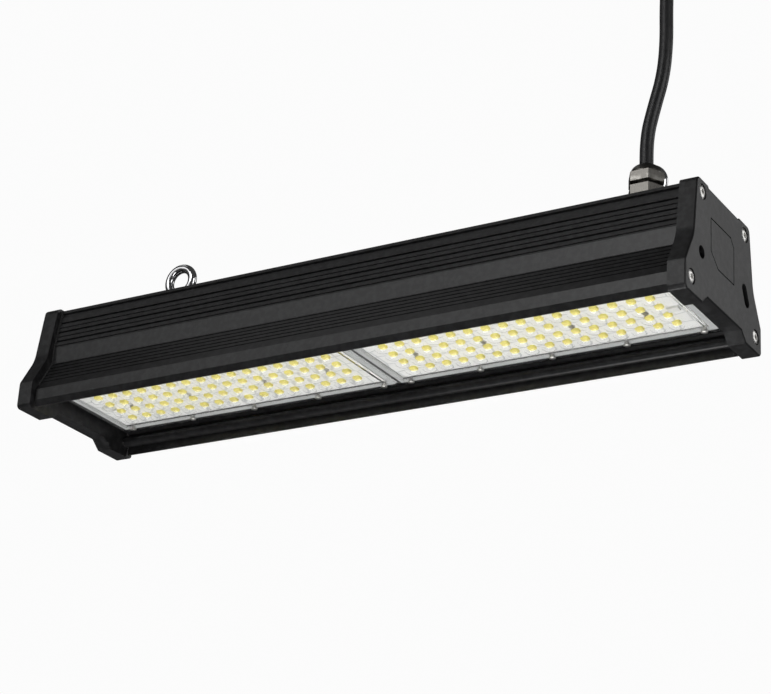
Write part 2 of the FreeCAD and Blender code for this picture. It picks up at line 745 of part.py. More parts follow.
def driver_screw_places():
    """List the driver's four tab screws."""
    reach = "(driver_length + driver_tab) / 2"
    return [(f"{DRIVER_PLACE} {end} {reach}", f"{side} driver_tab_spread / 2")
            for end in ("-", "+") for side in ("-", "0 +")]


def at(x, y, z, turn=None):
    """Make a placement from three rules and an optional turn."""
    return Placement(Vector(size(x), size(y), size(z)), turn or Rotation())


def build_screws():
    """Make each set of like screws from one turned master."""
    cap_screw = screw_master("CapScrew", "cap_screw_diameter",
                             "end_cap_thickness - cap_counterbore_depth + gasket_thickness + cap_screw_reach",
                             "cap_screw_head", "cap_screw_head_height",
                             "cap_screw_socket", "cap_screw_socket_depth")
    seat = "(overall_length / 2 - cap_counterbore_depth)"
    for side, sign in MODULE_SIDES.items():
        outward = Rotation(Vector(0, 1, 0), 90.0 * sign)
        group("end_cap_screws_" + side, cap_screw.Shape,
              [at(f"{sign} * {seat}", y, z, outward) for y, z in SCREW_SPOTS])
    downward = Rotation(Vector(1, 0, 0), 180.0)
    lens_screw = screw_master("LensScrew", "lens_screw_diameter",
                              "lens_screw_reach + lens_gasket_thickness + lens_rim_thickness",
                              "lens_screw_head", "lens_screw_head_height")
    board_screw = screw_master("BoardScrew", "board_screw_diameter",
                               "board_screw_reach + board_thickness",
                               "board_screw_head", "board_screw_head_height")
    for side, sign in MODULE_SIDES.items():
        group("lens_screws_" + side, lens_screw.Shape,
              [at(f"{sign} * {MODULE_OFFSET} + {x}", y, LENS_RIM_FACE, downward)
               for x, y in lens_screw_places()])
        group("led_board_screws_" + side, board_screw.Shape,
              [at(f"{sign} * {MODULE_OFFSET} + {x}", "0", BOARD_FACE, downward)
               for x in board_screw_places()])
    driver_screw = screw_master("DriverScrew", "driver_screw_diameter",
                                "driver_screw_reach + driver_wall",
                                "driver_screw_head", "driver_screw_head_height")
    group("driver_screws", driver_screw.Shape,
          [at(x, y, f"{DECK_TOP} + driver_wall") for x, y in driver_screw_places()])


# ---------------------------------------------------------------- LED modules

BOARD_FACE = "(deck_bottom - board_thickness)"
LENS_RIM_FACE = "(deck_bottom - lens_gasket_thickness - lens_rim_thickness)"
LENS_SEAT = "(deck_bottom - lens_gasket_thickness)"
LENS_FACE = "(deck_bottom - lens_gasket_thickness - lens_face_drop)"
WIRE_HOLE_PLACE = f"{MODULE_OFFSET} + {BOARD_LENGTH} / 2 - connector_inset - connector_length / 2"


def build_led_board(side, sign):
    """Cut one aluminium LED board with its screw holes and the hole for its lead."""
    body = new_body("LedBoard" + side.title(), f"{sign} * {MODULE_OFFSET}", z=BOARD_FACE)
    outline = new_sketch(body, "BoardOutline" + side.title(), "XY_Plane")
    draw_rectangle(outline, "0", "0", BOARD_LENGTH, "board_width")
    for x in board_screw_places():
        draw_circle(outline, x, "0", "board_screw_diameter + 2 * slip")
    draw_circle(outline, f"{sign} * ({WIRE_HOLE_PLACE} - {MODULE_OFFSET})", "0", "wire_hole")
    add_pad(body, outline, "board_thickness")
    return keep(body, "led_board_" + side)


def build_led_chips(side, sign):
    """Set out one module's LED chips in rows and columns on the board's lower face."""
    chip = doc.addObject("Part::Box", "LedChip" + side.title())
    bind(chip, "Length", "led_size")
    bind(chip, "Width", "led_size")
    bind(chip, "Height", "led_height")
    doc.recompute()
    columns, rows = int(size("led_columns")), int(size("led_rows"))
    places = [at(f"{sign} * {MODULE_OFFSET} + ({column} - (led_columns - 1) / 2) * {LED_COLUMN_PITCH}"
                 " - led_size / 2",
                 f"({row} - (led_rows - 1) / 2) * led_row_pitch - led_size / 2",
                 f"{BOARD_FACE} - led_height")
              for column in range(columns) for row in range(rows)]
    return group("led_chips_" + side, chip.Shape, places)


def build_lens_gasket(side, sign):
    """Cut one flat ring gasket that seals a lens plate to the deck around its board."""
    body = new_body("LensGasket" + side.title(), f"{sign} * {MODULE_OFFSET}", z=LENS_SEAT)
    outline = new_sketch(body, "LensGasketOutline" + side.title(), "XY_Plane")
    draw_rectangle(outline, "0", "0", f"{LENS_LENGTH} - 2 * slip", "lens_width - 2 * slip")
    inner_length = f"{LENS_LENGTH} - 2 * lens_gasket_width"
    draw_rectangle(outline, "0", "0", inner_length, "lens_width - 2 * lens_gasket_width")
    for x, y in lens_screw_places():
        draw_circle(outline, x, y, "lens_screw_diameter + 2 * slip")
    add_pad(body, outline, "lens_gasket_thickness")
    return keep(body, "lens_gasket_" + side)


def add_pattern(body, feature, steps):
    """Repeat a feature along the body's axes: each step has an axis, a pitch and a count."""
    pattern = body.newObject("PartDesign::MultiTransform", feature.Name + "Grid")
    pattern.Originals = [feature]
    lines = []
    for axis, pitch, count in steps:
        line = body.newObject("PartDesign::LinearPattern", feature.Name + axis)
        line.Direction = (next(part for part in body.Origin.OriginFeatures if part.Role == axis), [""])
        line.Mode = "Spacing"
        bind(line, "Offset", pitch)
        bind(line, "Occurrences", count)
        lines.append(line)
    pattern.Transformations = lines
    body.Tip = pattern
    doc.recompute()
    return pattern


def build_lens(side, sign):
    """Mould one clear lens plate: a screwed rim, a raised face and a dome over every LED."""
    body = new_body("LensPlate" + side.title(), f"{sign} * {MODULE_OFFSET}", z=LENS_SEAT)
    rim = new_sketch(body, "LensRim" + side.title(), "XY_Plane")
    draw_rectangle(rim, "0", "0", LENS_LENGTH, "lens_width")
    add_pad(body, rim, "lens_rim_thickness", reverse=True)
    face_length, face_width = f"{LENS_LENGTH} - 2 * lens_rim_width", "lens_width - 2 * lens_rim_width"
    face = new_sketch(body, "LensFace" + side.title(), "XY_Plane")
    draw_rectangle(face, "0", "0", face_length, face_width)
    add_pad(body, face, "lens_face_drop", reverse=True)
    dome = new_sketch(body, "LensDome" + side.title(), "XZ_Plane", "(led_rows - 1) / 2 * led_row_pitch",
                      f"-(led_columns - 1) / 2 * {LED_COLUMN_PITCH}")
    radius = "lens_dome_diameter / 2"
    ball = f"(({radius}) ^ 2 + lens_dome_height ^ 2) / (2 * lens_dome_height)"
    draw_outline(dome, [("0", "-lens_face_drop"), ("0", "-lens_face_drop - lens_dome_height"),
                        (radius, "-lens_face_drop")], {1: ball})
    bump = add_turn(body, dome, "Revolution")
    add_pattern(body, bump, [("X_Axis", LED_COLUMN_PITCH, "led_columns"),
                             ("Y_Axis", "led_row_pitch", "led_rows")])
    hollow = new_sketch(body, "LensHollow" + side.title(), "XY_Plane")
    draw_rectangle(hollow, "0", "0", f"{LENS_LENGTH} - 2 * lens_gasket_width",
                   "lens_width - 2 * lens_gasket_width - 2 * lens_wall")
    add_pocket(body, hollow, "lens_face_drop - lens_wall")
    holes = new_sketch(body, "LensHoles" + side.title(), "XY_Plane")
    for x, y in lens_screw_places():
        draw_circle(holes, x, y, "lens_screw_diameter + 2 * slip")
    add_pocket(body, holes, "lens_rim_thickness")
    return keep(body, "lens_plate_" + side)


def build_connectors():
    """Set one lead connector at the outer end of each LED board."""
    block = doc.addObject("Part::Box", "BoardConnector")
    bind(block, "Length", "connector_length")
    bind(block, "Width", "connector_width")
    bind(block, "Height", "connector_height")
    doc.recompute()
    group("board_connectors", block.Shape,
          [at(f"{sign} * ({WIRE_HOLE_PLACE}) - connector_length / 2", "-connector_width / 2",
              f"{BOARD_FACE} - connector_height") for sign in MODULE_SIDES.values()])


# ---------------------------------------------------------------- eyebolts

EYE_SEAT = "(housing_top + eye_washer_thickness + eye_nut_height)"
NECK_LENGTH = "(eye_collar_height + eye_neck_height + eye_wire / 2)"
EYE_HEIGHT = f"({EYE_SEAT} + {NECK_LENGTH} + eye_ring_radius)"


def primitive(kind, name, x, y, z, sizes, turn=None):
    """Add a Part primitive at a place given by rules, with each size tied to a rule."""
    solid = doc.addObject("Part::" + kind, name)
    solid.Placement = at(x, y, z, turn)
    for axis, rule in zip("xyz", (x, y, z)):
        bind(solid, ".Placement.Base." + axis, rule)
    for prop, rule in sizes.items():
        bind(solid, prop, rule)
    return solid


def combine(kind, name, pieces):
    """Join or cut Part objects into one."""
    result = doc.addObject("Part::" + kind, name)
    if kind == "Cut":
        result.Base, result.Tool = pieces
    else:
        result.Shapes = pieces
    doc.recompute()
    return result


def build_eyebolt(side, place):
    """Forge one eyebolt: a round ring on a neck and collar over a threaded shank."""
    tag = side.title()
    ring = primitive("Torus", "EyeRing" + tag, place, "0", EYE_HEIGHT,
                     {"Radius1": "eye_ring_radius", "Radius2": "eye_wire / 2"},
                     Rotation(Vector(1, 0, 0), 90))
    collar = primitive("Cylinder", "EyeCollar" + tag, place, "0", EYE_SEAT,
                       {"Radius": "eye_collar / 2", "Height": "eye_collar_height"})
    neck = primitive("Cylinder", "EyeNeck" + tag, place, "0", EYE_SEAT,
                     {"Radius": "eye_neck / 2", "Height": NECK_LENGTH})
    shank = primitive("Cylinder", "EyeShank" + tag, place, "0", "housing_top - eye_thread_reach",
                      {"Radius": "eye_thread / 2",
                       "Height": "eye_thread_reach + eye_washer_thickness + eye_nut_height"})
    return keep(combine("MultiFuse", "Eyebolt" + tag, [ring, collar, neck, shank]), "eyebolt_" + side)


def build_eye_fastenings():
    """Make the lock nut and the washer that sit under each eyebolt."""
    places = EYE_PLACES.values()
    nut = new_body("EyeLockNut")
    hexagon = new_sketch(nut, "EyeNutHexagon", "XY_Plane")
    draw_hexagon(hexagon, "eye_nut_flats")
    draw_circle(hexagon, "0", "0", "eye_thread + 2 * slip")
    add_pad(nut, hexagon, "eye_nut_height")
    group("eyebolt_lock_nuts", nut.Shape,
          [at(place, "0", "housing_top + eye_washer_thickness") for place in places])
    washer = new_body("EyeWasher")
    ring = new_sketch(washer, "EyeWasherRing", "XY_Plane")
    draw_circle(ring, "0", "0", "eye_washer")
    draw_circle(ring, "0", "0", "eye_thread + 2 * slip")
    add_pad(washer, ring, "eye_washer_thickness")
    group("eyebolt_washers", washer.Shape, [at(place, "0", "housing_top") for place in places])


# ---------------------------------------------------------------- cable gland

GLAND_SEAT = "(housing_top + gland_washer_thickness)"
NUT_FOOT = f"({GLAND_SEAT} + gland_hex_height + gland_shoulder_height)"
NECK_TOP = f"({NUT_FOOT} + gland_neck_height)"


def gland_body_at(name, z):
    """Start a body on the gland's axis at a height."""
    return new_body(name, GLAND_PLACE, "gland_offset", z)


def build_gland():
    """Make the gland: sealing washer, threaded body, rubber seal and domed cap nut."""
    washer = gland_body_at("GlandWasher", "housing_top")
    ring = new_sketch(washer, "GlandWasherRing", "XY_Plane")
    draw_circle(ring, "0", "0", "gland_washer")
    draw_circle(ring, "0", "0", "gland_thread + 2 * slip")
    add_pad(washer, ring, "gland_washer_thickness")
    keep(washer, "cable_gland_washer")

    body = gland_body_at("GlandBody", GLAND_SEAT)
    hexagon = new_sketch(body, "GlandHexagon", "XY_Plane")
    draw_hexagon(hexagon, "gland_flats")
    add_pad(body, hexagon, "gland_hex_height")
    stem = new_sketch(body, "GlandStem", "XZ_Plane")
    foot = "-gland_thread_length - gland_washer_thickness"
    shoulder = "gland_hex_height + gland_shoulder_height"
    draw_outline(stem, [
        ("0", foot), ("gland_thread / 2", foot), ("gland_thread / 2", "0"),
        ("gland_shoulder / 2 + slip", "0"), ("gland_shoulder / 2 + slip", "gland_hex_height"),
        ("gland_shoulder / 2 - gland_shoulder_height / 3", shoulder),
        ("gland_neck / 2", shoulder), ("gland_neck / 2", f"{shoulder} + gland_neck_height"),
        ("0", f"{shoulder} + gland_neck_height")])
    add_turn(body, stem, "Revolution")
    bore = new_sketch(body, "GlandBore", "XY_Plane", f"{shoulder} + gland_neck_height")
    draw_circle(bore, "0", "0", "gland_bore")
    add_pocket(body, bore, f"{shoulder} + gland_neck_height - ({foot})")
    keep(body, "cable_gland_body")

    nut = gland_body_at("GlandCapNut", NUT_FOOT)
    nut_hexagon = new_sketch(nut, "GlandNutHexagon", "XY_Plane")
    draw_hexagon(nut_hexagon, "gland_flats")
    height = "(gland_nut_hex_height + gland_dome_height)"
    add_pad(nut, nut_hexagon, height)
    dome = new_sketch(nut, "GlandDome", "XZ_Plane")
    draw_outline(dome, [
        ("gland_flats / 2 - 2 * slip", "gland_nut_hex_height"), ("gland_flats", "gland_nut_hex_height"),
        ("gland_flats", f"{height} + slip"), ("gland_dome_mouth / 2", f"{height} + slip")],
        {3: "-gland_dome_height * gland_dome_bulge"})
    add_turn(nut, dome, "Groove")
    cavity = new_sketch(nut, "GlandCavity", "XZ_Plane")
    seal_top = "gland_neck_height + gland_seal_height"
    draw_outline(cavity, [
        ("0", "-slip"), ("gland_neck / 2 + slip", "-slip"), ("gland_neck / 2 + slip", seal_top),
        ("gland_bore / 2", f"{seal_top} + gland_seal_height / 3"), ("gland_bore / 2", f"{height} + slip"),
        ("0", f"{height} + slip")])
    add_turn(nut, cavity, "Groove")
    keep(nut, "cable_gland_cap_nut")

    seal = gland_body_at("GlandSeal", NECK_TOP)
    seal_ring = new_sketch(seal, "GlandSealRing", "XY_Plane")
    draw_circle(seal_ring, "0", "0", "gland_neck")
    draw_circle(seal_ring, "0", "0", "cable_diameter + 2 * slip")
    add_pad(seal, seal_ring, "gland_seal_height")
    keep(seal, "cable_gland_seal")


# ---------------------------------------------------------------- cable, wires and ceiling rose

def route_wire(points):
    """Make a path of straight runs joined by tangent arcs, and return it with the arcs' radii."""
    edges = []
    radii = []
    start = points[0]
    for before, corner, after in zip(points, points[1:], points[2:]):
        way_in, way_out = (corner - before).normalize(), (after - corner).normalize()
        turn = way_in.getAngle(way_out)
        shorter = min((corner - before).Length, (after - corner).Length)
        cut = ROUTE_ROUNDING * shorter
        radius = cut / math.tan(turn / 2)
        radii.append(radius)
        first, last = corner - way_in * cut, corner + way_out * cut
        inward = (way_out - way_in).normalize()
        middle = corner + inward * (radius / math.cos(turn / 2) - radius)
        edges.append(Part.LineSegment(start, first).toShape())
        edges.append(Part.Arc(first, middle, last).toShape())
        start = last
    edges.append(Part.LineSegment(start, points[-1]).toShape())
    return Part.Wire(edges), radii


def tube(points, diameter, name):
    """Sweep a round section along a route and check it against its length."""
    path, radii = route_wire(points)
    section = Part.Wire(Part.Circle(points[0], points[1] - points[0], diameter / 2).toShape())
    solid = path.makePipeShell([section], True, False)
    expected = math.pi * diameter ** 2 / 4 * path.Length
    if abs(solid.Volume / expected - 1) > VOLUME_SLACK:
        sys.exit(f"{name} has the volume {solid.Volume:.1f}, not {expected:.1f}")
    print(f"{name}: length {path.Length:.1f}, least radius {min(radii):.1f}" if radii else name)
    return solid, radii


def build_cable():
    """Sweep the supply cable from the chamber through the gland up into the ceiling rose."""
    offset = size("gland_offset")
    diameter = size("cable_diameter")
    gland = size(GLAND_PLACE)
    points = [Vector(gland + x, offset, z) for x, z in CABLE_ROUTE]
    solid, radii = tube(points, diameter, "power_cable")
    if min(radii) < LEAST_BEND * diameter:
        sys.exit("the cable bends too tightly")
    feature = doc.addObject("Part::Feature", "PowerCable")
    feature.Shape = solid
    return keep(feature, "power_cable")


def build_wires():
    """Lay the cable's three cores to the terminal block, and the driver's leads to the LED boards."""
    cable_x, cable_y = size(GLAND_PLACE) + CABLE_ROUTE[0][0], size("gland_offset")
    cable_end = CABLE_ROUTE[0][1]
    mouth = size(f"{DECK_TOP} + terminal_height - terminal_mouth_depth")
    cores = []
    for pole in (-1, 0, 1):
        start = cable_y + pole * size("core_diameter + slip")
        end = cable_y + pole * size("terminal_pole_pitch")
        points = [Vector(cable_x, start, cable_end), Vector(cable_x, end, mouth)]
        if pole:
            points[1:1] = [Vector(cable_x, start, cable_end - size("core_straight")),
                           Vector(cable_x, end, cable_end - size("core_straight + core_spread"))]
        cores.append(tube(points, size("core_diameter"), f"core {pole + 2}")[0])
    cord = doc.addObject("Part::Feature", "SupplyCores")
    cord.Shape = Part.makeCompound(cores)
    keep(cord, "supply_cores")

    outlet = size(f"{DECK_TOP} + driver_height / 2")
    deck = size(f"{DECK_TOP} + wire_diameter / 2")
    leads = []
    for sign in MODULE_SIDES.values():
        wall = size(f"{DRIVER_PLACE} + {sign} * driver_length / 2")
        hole = size(f"{sign} * ({WIRE_HOLE_PLACE})")
        straight = [Vector(wall - sign * size("driver_wall"), 0, outlet),
                    Vector(wall + sign * size("lead_straight"), 0, outlet)]
        over_hole = Vector(hole, 0, deck + size("lead_hump"))
        down = [over_hole, Vector(hole, 0, size(BOARD_FACE))]
        if sign > 0:
            landing = [Vector(hole - size("lead_dip_run"), 0, outlet - size("lead_dip"))]
        else:
            landing = lead_along_deck(wall - size("lead_drop_run"), hole, deck)
        leads.append(tube(straight + landing + down, size("wire_diameter"), "led lead")[0])
    cord = doc.addObject("Part::Feature", "LedLeads")
    cord.Shape = Part.makeCompound(leads)
    keep(cord, "led_leads")


def lead_along_deck(start, hole, deck):
    """Give the points of a lead that lies on the deck with a slight sway and rises before its hole."""
    end = hole + size("lead_hump_run")
    runs = int(size("lead_runs"))
    points = []
    for step in range(runs):
        sway = size("lead_sway") if step % 2 else 0.0
        points.append(Vector(start + step * (end - start) / runs, sway, deck))
    points.append(Vector(end, 0, deck))
    points.append(Vector(hole + size("lead_rise_run"), 0, deck + size("lead_hump + lead_rise")))
    return points


def build_rose():
    """Make the ceiling rose: a base plate, a cover cup over it and the grip that holds the cable."""
    cable_x, offset = f"{GLAND_PLACE} + {CABLE_ROUTE[-1][0]}", "gland_offset"
    rim = "rose_height - rose_base_thickness"

    base = new_body("RoseBase", cable_x, offset, f"rose_bottom + {rim}")
    plate = new_sketch(base, "RosePlate", "XY_Plane")
    draw_circle(plate, "0", "0", "rose_diameter - 2 * rose_wall - 2 * slip")
    for sign in ("-", ""):
        draw_circle(plate, f"{sign}rose_diameter / 4", "0", "cap_screw_diameter")
    add_pad(base, plate, "rose_base_thickness")
    keep(base, "ceiling_rose_base")

    cover = new_body("RoseCover", cable_x, offset, "rose_bottom")
    cup = new_sketch(cover, "RoseCup", "XZ_Plane")
    radius, inner = "rose_diameter / 2", "(rose_diameter / 2 - rose_wall)"
    neck = "grip_diameter / 2 + slip"
    draw_outline(cup, [
        (neck, "0"), (f"{radius} - 3 * rose_wall", "0"), (radius, "3 * rose_wall"),
        (radius, "rose_height"), (inner, "rose_height"), (inner, "3 * rose_wall"),
        (f"{inner} - 2 * rose_wall", "rose_wall"), (neck, "rose_wall")],
        {1: "3 * rose_wall", 5: "-2 * rose_wall"})
    add_turn(cover, cup, "Revolution")
    keep(cover, "ceiling_rose_cover")

    grip = new_body("RoseGrip", cable_x, offset, "rose_bottom")
    ring = new_sketch(grip, "GripRing", "XZ_Plane")
    bore = "cable_diameter / 2 + slip"
    draw_outline(ring, [
        (bore, "-rose_wall"), ("grip_diameter / 2", "-rose_wall"),
        ("grip_diameter / 2", "grip_height"), (bore, "grip_height")])
    add_turn(grip, ring, "Revolution")
    keep(grip, "ceiling_rose_cord_grip")


# ---------------------------------------------------------------- driver

BOARD_SEAT = f"({DECK_TOP} + driver_wall + driver_post_height)"
PARTS_SEAT = f"({BOARD_SEAT} + driver_board_thickness)"


def build_driver():
    """Make the driver: a tabbed box with posts, its lid, and the circuit board with its parts."""
    case = new_body("DriverCase", DRIVER_PLACE, "0", DECK_TOP)
    tabs = new_sketch(case, "DriverTabs", "XY_Plane")
    draw_rectangle(tabs, "0", "0", "driver_length + 2 * driver_tab", "driver_width")
    for x, y in driver_screw_places():
        draw_circle(tabs, f"{x} - {DRIVER_PLACE}", y, "driver_tab_hole")
    add_pad(case, tabs, "driver_wall")
    box = new_sketch(case, "DriverBox", "XY_Plane")
    draw_rectangle(box, "0", "0", "driver_length", "driver_width")
    add_pad(case, box, "driver_height - driver_wall")
    hollow = new_sketch(case, "DriverHollow", "XY_Plane", "driver_height - driver_wall")
    draw_rectangle(hollow, "0", "0", "driver_length - 2 * driver_wall", "driver_width - 2 * driver_wall")
    add_pocket(case, hollow, "driver_height - 2 * driver_wall")
    post_x = "(driver_length / 2 - driver_wall - driver_post)"
    post_y = "(driver_width / 2 - driver_wall - driver_post)"
    posts = new_sketch(case, "DriverPosts", "XY_Plane", "driver_wall")
    for x, y in [(a + post_x, b + post_y) for a in ("", "-") for b in ("", "-")]:
        draw_circle(posts, x, y, "driver_post")
    add_pad(case, posts, "driver_post_height")
    outlets = new_sketch(case, "DriverOutlets", "YZ_Plane", "-driver_length")
    draw_circle(outlets, "0", "driver_height / 2", "wire_diameter + 2 * slip")
    add_pocket(case, outlets, "2 * driver_length", reverse=True)
    keep(case, "driver_case")

    lid = new_body("DriverLid", DRIVER_PLACE, "0", f"{DECK_TOP} + driver_height - driver_wall")
    sheet_metal = new_sketch(lid, "DriverLidSheet", "XY_Plane")
    draw_rectangle(sheet_metal, "0", "0", "driver_length", "driver_width")
    add_pad(lid, sheet_metal, "driver_wall")
    keep(lid, "driver_lid")

    board = new_body("DriverBoard", DRIVER_PLACE, "0", BOARD_SEAT)
    outline = new_sketch(board, "DriverBoardOutline", "XY_Plane")
    gap = "2 * (driver_wall + driver_board_gap)"
    draw_rectangle(outline, "0", "0", f"driver_length - {gap}", f"driver_width - {gap}")
    add_pad(board, outline, "driver_board_thickness")
    keep(board, "driver_circuit_board")

    core = primitive("Box", "TransformerCore", f"{TRANSFORMER_PLACE} - transformer_length / 2",
                     "-transformer_width / 2", PARTS_SEAT,
                     {"Length": "transformer_length", "Width": "transformer_width",
                      "Height": "transformer_height"})
    window = primitive("Box", "TransformerWindow",
                       f"{TRANSFORMER_PLACE} - transformer_length / 2",
                       "-transformer_width / 2",
                       f"{PARTS_SEAT} + (transformer_height - winding_height) / 2",
                       {"Length": "transformer_length / 2", "Width": "transformer_width",
                        "Height": "winding_height"})
    winding = primitive("Cylinder", "TransformerWinding", TRANSFORMER_PLACE, "0",
                        f"{PARTS_SEAT} + (transformer_height - winding_height) / 2",
                        {"Radius": "winding_diameter / 2", "Height": "winding_height"})
    frame = combine("Cut", "TransformerFrame", [core, window])
    keep(combine("MultiFuse", "Transformer", [frame, winding]), "driver_transformer")

    can = primitive("Cylinder", "DriverCapacitor", "0", "0", "0",
                    {"Radius": "capacitor_diameter / 2", "Height": "capacitor_height"})
    doc.recompute()
    group("driver_capacitors", can.Shape,
          [at(f"{CAPACITOR_PLACE} + {step} * capacitor_pitch / 2", "0", PARTS_SEAT)
           for step in (-1, 1)])


def build_terminal_block():
    """Mould the terminal block: one mouth and one clamp screw recess for each core."""
    block = new_body("TerminalBlock", TERMINAL_PLACE, "gland_offset", DECK_TOP)
    outline = new_sketch(block, "TerminalOutline", "XY_Plane")
    draw_rectangle(outline, "0", "0", "terminal_length", "terminal_width")
    add_pad(block, outline, "terminal_height")
    mouths = new_sketch(block, "TerminalMouths", "XY_Plane", "terminal_height")
    for pole in (-1, 0, 1):
        draw_circle(mouths, f"{GLAND_PLACE} + {CABLE_ROUTE[0][0]} - {TERMINAL_PLACE}",
                    f"{pole} * terminal_pole_pitch", "terminal_mouth")
    add_pocket(block, mouths, "terminal_mouth_depth")
    return keep(block, "terminal_block")


# ---------------------------------------------------------------- build, check and write

def check_all():
    """Stop if any object failed to build or any sub-part has a bad shape."""
    doc.recompute()
    for thing in doc.Objects:
        if "Invalid" in thing.State or "Error" in thing.State:
            sys.exit(f"{thing.Name} failed to build: {thing.State}")
    for name, thing in made.items():
        if thing.Shape.isNull() or not thing.Shape.isValid() or not thing.Shape.Solids:
            sys.exit(f"{name} has a bad shape")
        if any(solid.Volume <= 0 for solid in thing.Shape.Solids):
            sys.exit(f"{name} has an empty solid")


def write_all():
    """Write each sub-part to its own STEP file."""
    os.makedirs("parts", exist_ok=True)
    for name, thing in made.items():
        thing.Shape.exportStep(os.path.join("parts", name + ".step"))
        print(f"{name}: {len(thing.Shape.Solids)} solids, {thing.Shape.Volume:.0f} mm3")


def main():
    """Build every sub-part, check it and write it out."""
    fill_sheet()
    build_housing()
    build_screws()
    build_connectors()
    for side, sign in MODULE_SIDES.items():
        build_end_cap(side)
        build_end_gasket(side)
        build_led_board(side, sign)
        build_led_chips(side, sign)
        build_lens_gasket(side, sign)
        build_lens(side, sign)
        build_eyebolt(side, EYE_PLACES[side])
    build_eye_fastenings()
    build_gland()
    build_driver()
    build_terminal_block()
    build_cable()
    build_wires()
    build_rose()
    check_all()
    write_all()


main()
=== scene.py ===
import logging
import math
from collections.abc import Callable, Iterable, Sequence
from dataclasses import dataclass
from enum import Enum

import bmesh
import bpy
from mathutils import Matrix, Vector


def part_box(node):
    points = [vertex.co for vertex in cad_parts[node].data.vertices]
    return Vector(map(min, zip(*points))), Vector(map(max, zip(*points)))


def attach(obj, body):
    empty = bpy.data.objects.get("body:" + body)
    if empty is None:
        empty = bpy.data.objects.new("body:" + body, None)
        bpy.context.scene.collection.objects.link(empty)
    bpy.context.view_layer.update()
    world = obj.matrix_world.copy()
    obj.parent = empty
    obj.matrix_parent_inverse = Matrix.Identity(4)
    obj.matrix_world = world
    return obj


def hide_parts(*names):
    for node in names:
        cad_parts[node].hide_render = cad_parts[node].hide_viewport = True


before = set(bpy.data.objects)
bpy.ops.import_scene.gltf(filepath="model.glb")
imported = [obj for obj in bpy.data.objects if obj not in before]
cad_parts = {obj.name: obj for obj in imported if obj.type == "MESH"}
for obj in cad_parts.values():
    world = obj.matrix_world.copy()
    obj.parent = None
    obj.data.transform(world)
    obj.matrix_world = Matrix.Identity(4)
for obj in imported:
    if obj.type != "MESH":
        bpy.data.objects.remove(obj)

log = logging.getLogger("high_bay_light")
MM = 0.001
BODY = "root"
SIDES = ("left", "right")
Colour = tuple[float, float, float]
Point = tuple[float, float, float]
Range = tuple[float, float]


# ---------------------------------------------------------------- node building

class Nodes:
    """Short names for adding and joining the nodes of one tree."""

    def __init__(self, tree: bpy.types.NodeTree) -> None:
        """Work on a tree.

        Args:
            tree: the material's or group's node tree.
        """
        self.tree = tree

    def add(self, kind: str, settings: dict[str, object] | None = None,
            values: dict[str, object] | None = None) -> bpy.types.Node:
        """Add a node.

        Args:
            kind: the node's type name, such as ShaderNodeMath.
            settings: the node's own properties, such as its operation.
            values: socket names with either a plain value or a socket to join to it.

        Returns:
            The new node.
        """
        node = self.tree.nodes.new(kind)
        for name, value in (settings or {}).items():
            setattr(node, name, value)
        for name, value in (values or {}).items():
            socket = node.inputs[int(name)] if name.isdigit() else node.inputs[name]
            if isinstance(value, bpy.types.NodeSocket):
                self.tree.links.new(value, socket)
            else:
                socket.default_value = value
        return node

    def math(self, operation: str, one: object, other: object = 0.0) -> bpy.types.NodeSocket:
        """Add a math node.

        Args:
            operation: such as MULTIPLY.
            one: first number or socket.
            other: second number or socket.

        Returns:
            The result's socket.
        """
        return self.add("ShaderNodeMath", {"operation": operation}, {"0": one, "1": other}).outputs[0]

    def share(self, one: bpy.types.NodeSocket, other: bpy.types.NodeSocket,
              part: float) -> bpy.types.NodeSocket:
        """Add two values up, each with its share.

        Args:
            one: value with the share that is given.
            other: value with the rest.
            part: the first value's share, from 0 to 1.

        Returns:
            The sum's socket.
        """
        return self.math("ADD", self.math("MULTIPLY", one, part), self.math("MULTIPLY", other, 1.0 - part))

    def blend(self, mask: object, low: object, high: object) -> bpy.types.NodeSocket:
        """Blend two colours by a mask.

        Args:
            mask: 0 for the low colour and 1 for the high one.
            low: colour or socket.
            high: colour or socket.

        Returns:
            The blended colour's socket.
        """
        def opaque(tone: object) -> object:
            """Give a plain colour its alpha."""
            return tone if isinstance(tone, bpy.types.NodeSocket) else (*tone, 1.0)
        node = self.add("ShaderNodeMix", {"data_type": "RGBA"},
                        {"0": mask, "6": opaque(low), "7": opaque(high)})
        return node.outputs[2]

    def ramp(self, value: bpy.types.NodeSocket, low: float, high: float,
             to_low: float = 0.0, to_high: float = 1.0) -> bpy.types.NodeSocket:
        """Map a range of values onto another, held at its ends.

        Args:
            value: the value that varies.
            low: value that maps to to_low.
            high: value that maps to to_high.
            to_low: result at low.
            to_high: result at high.

        Returns:
            The mapped value's socket.
        """
        return self.add("ShaderNodeMapRange", {}, {"Value": value, "From Min": low, "From Max": high,
                                                   "To Min": to_low, "To Max": to_high}).outputs[0]


def new_group(name: str, inputs: dict[str, tuple[str, object]], outputs: dict[str, str],
              build: Callable[[Nodes, bpy.types.Node, bpy.types.Node], None]) -> bpy.types.NodeTree:
    """Make a node group once and return it after that.

    Args:
        name: the group's name.
        inputs: input names with their socket type and first value.
        outputs: output names with their socket type.
        build: joins the group's nodes between its input and output nodes.

    Returns:
        The node group.
    """
    if name in bpy.data.node_groups:
        return bpy.data.node_groups[name]
    tree = bpy.data.node_groups.new(name, "ShaderNodeTree")
    for socket, (kind, value) in inputs.items():
        made = tree.interface.new_socket(socket, in_out="INPUT", socket_type=kind)
        if value is not None:
            made.default_value = value
    for socket, kind in outputs.items():
        tree.interface.new_socket(socket, in_out="OUTPUT", socket_type=kind)
    nodes = Nodes(tree)
    build(nodes, tree.nodes.new("NodeGroupInput"), tree.nodes.new("NodeGroupOutput"))
    return tree


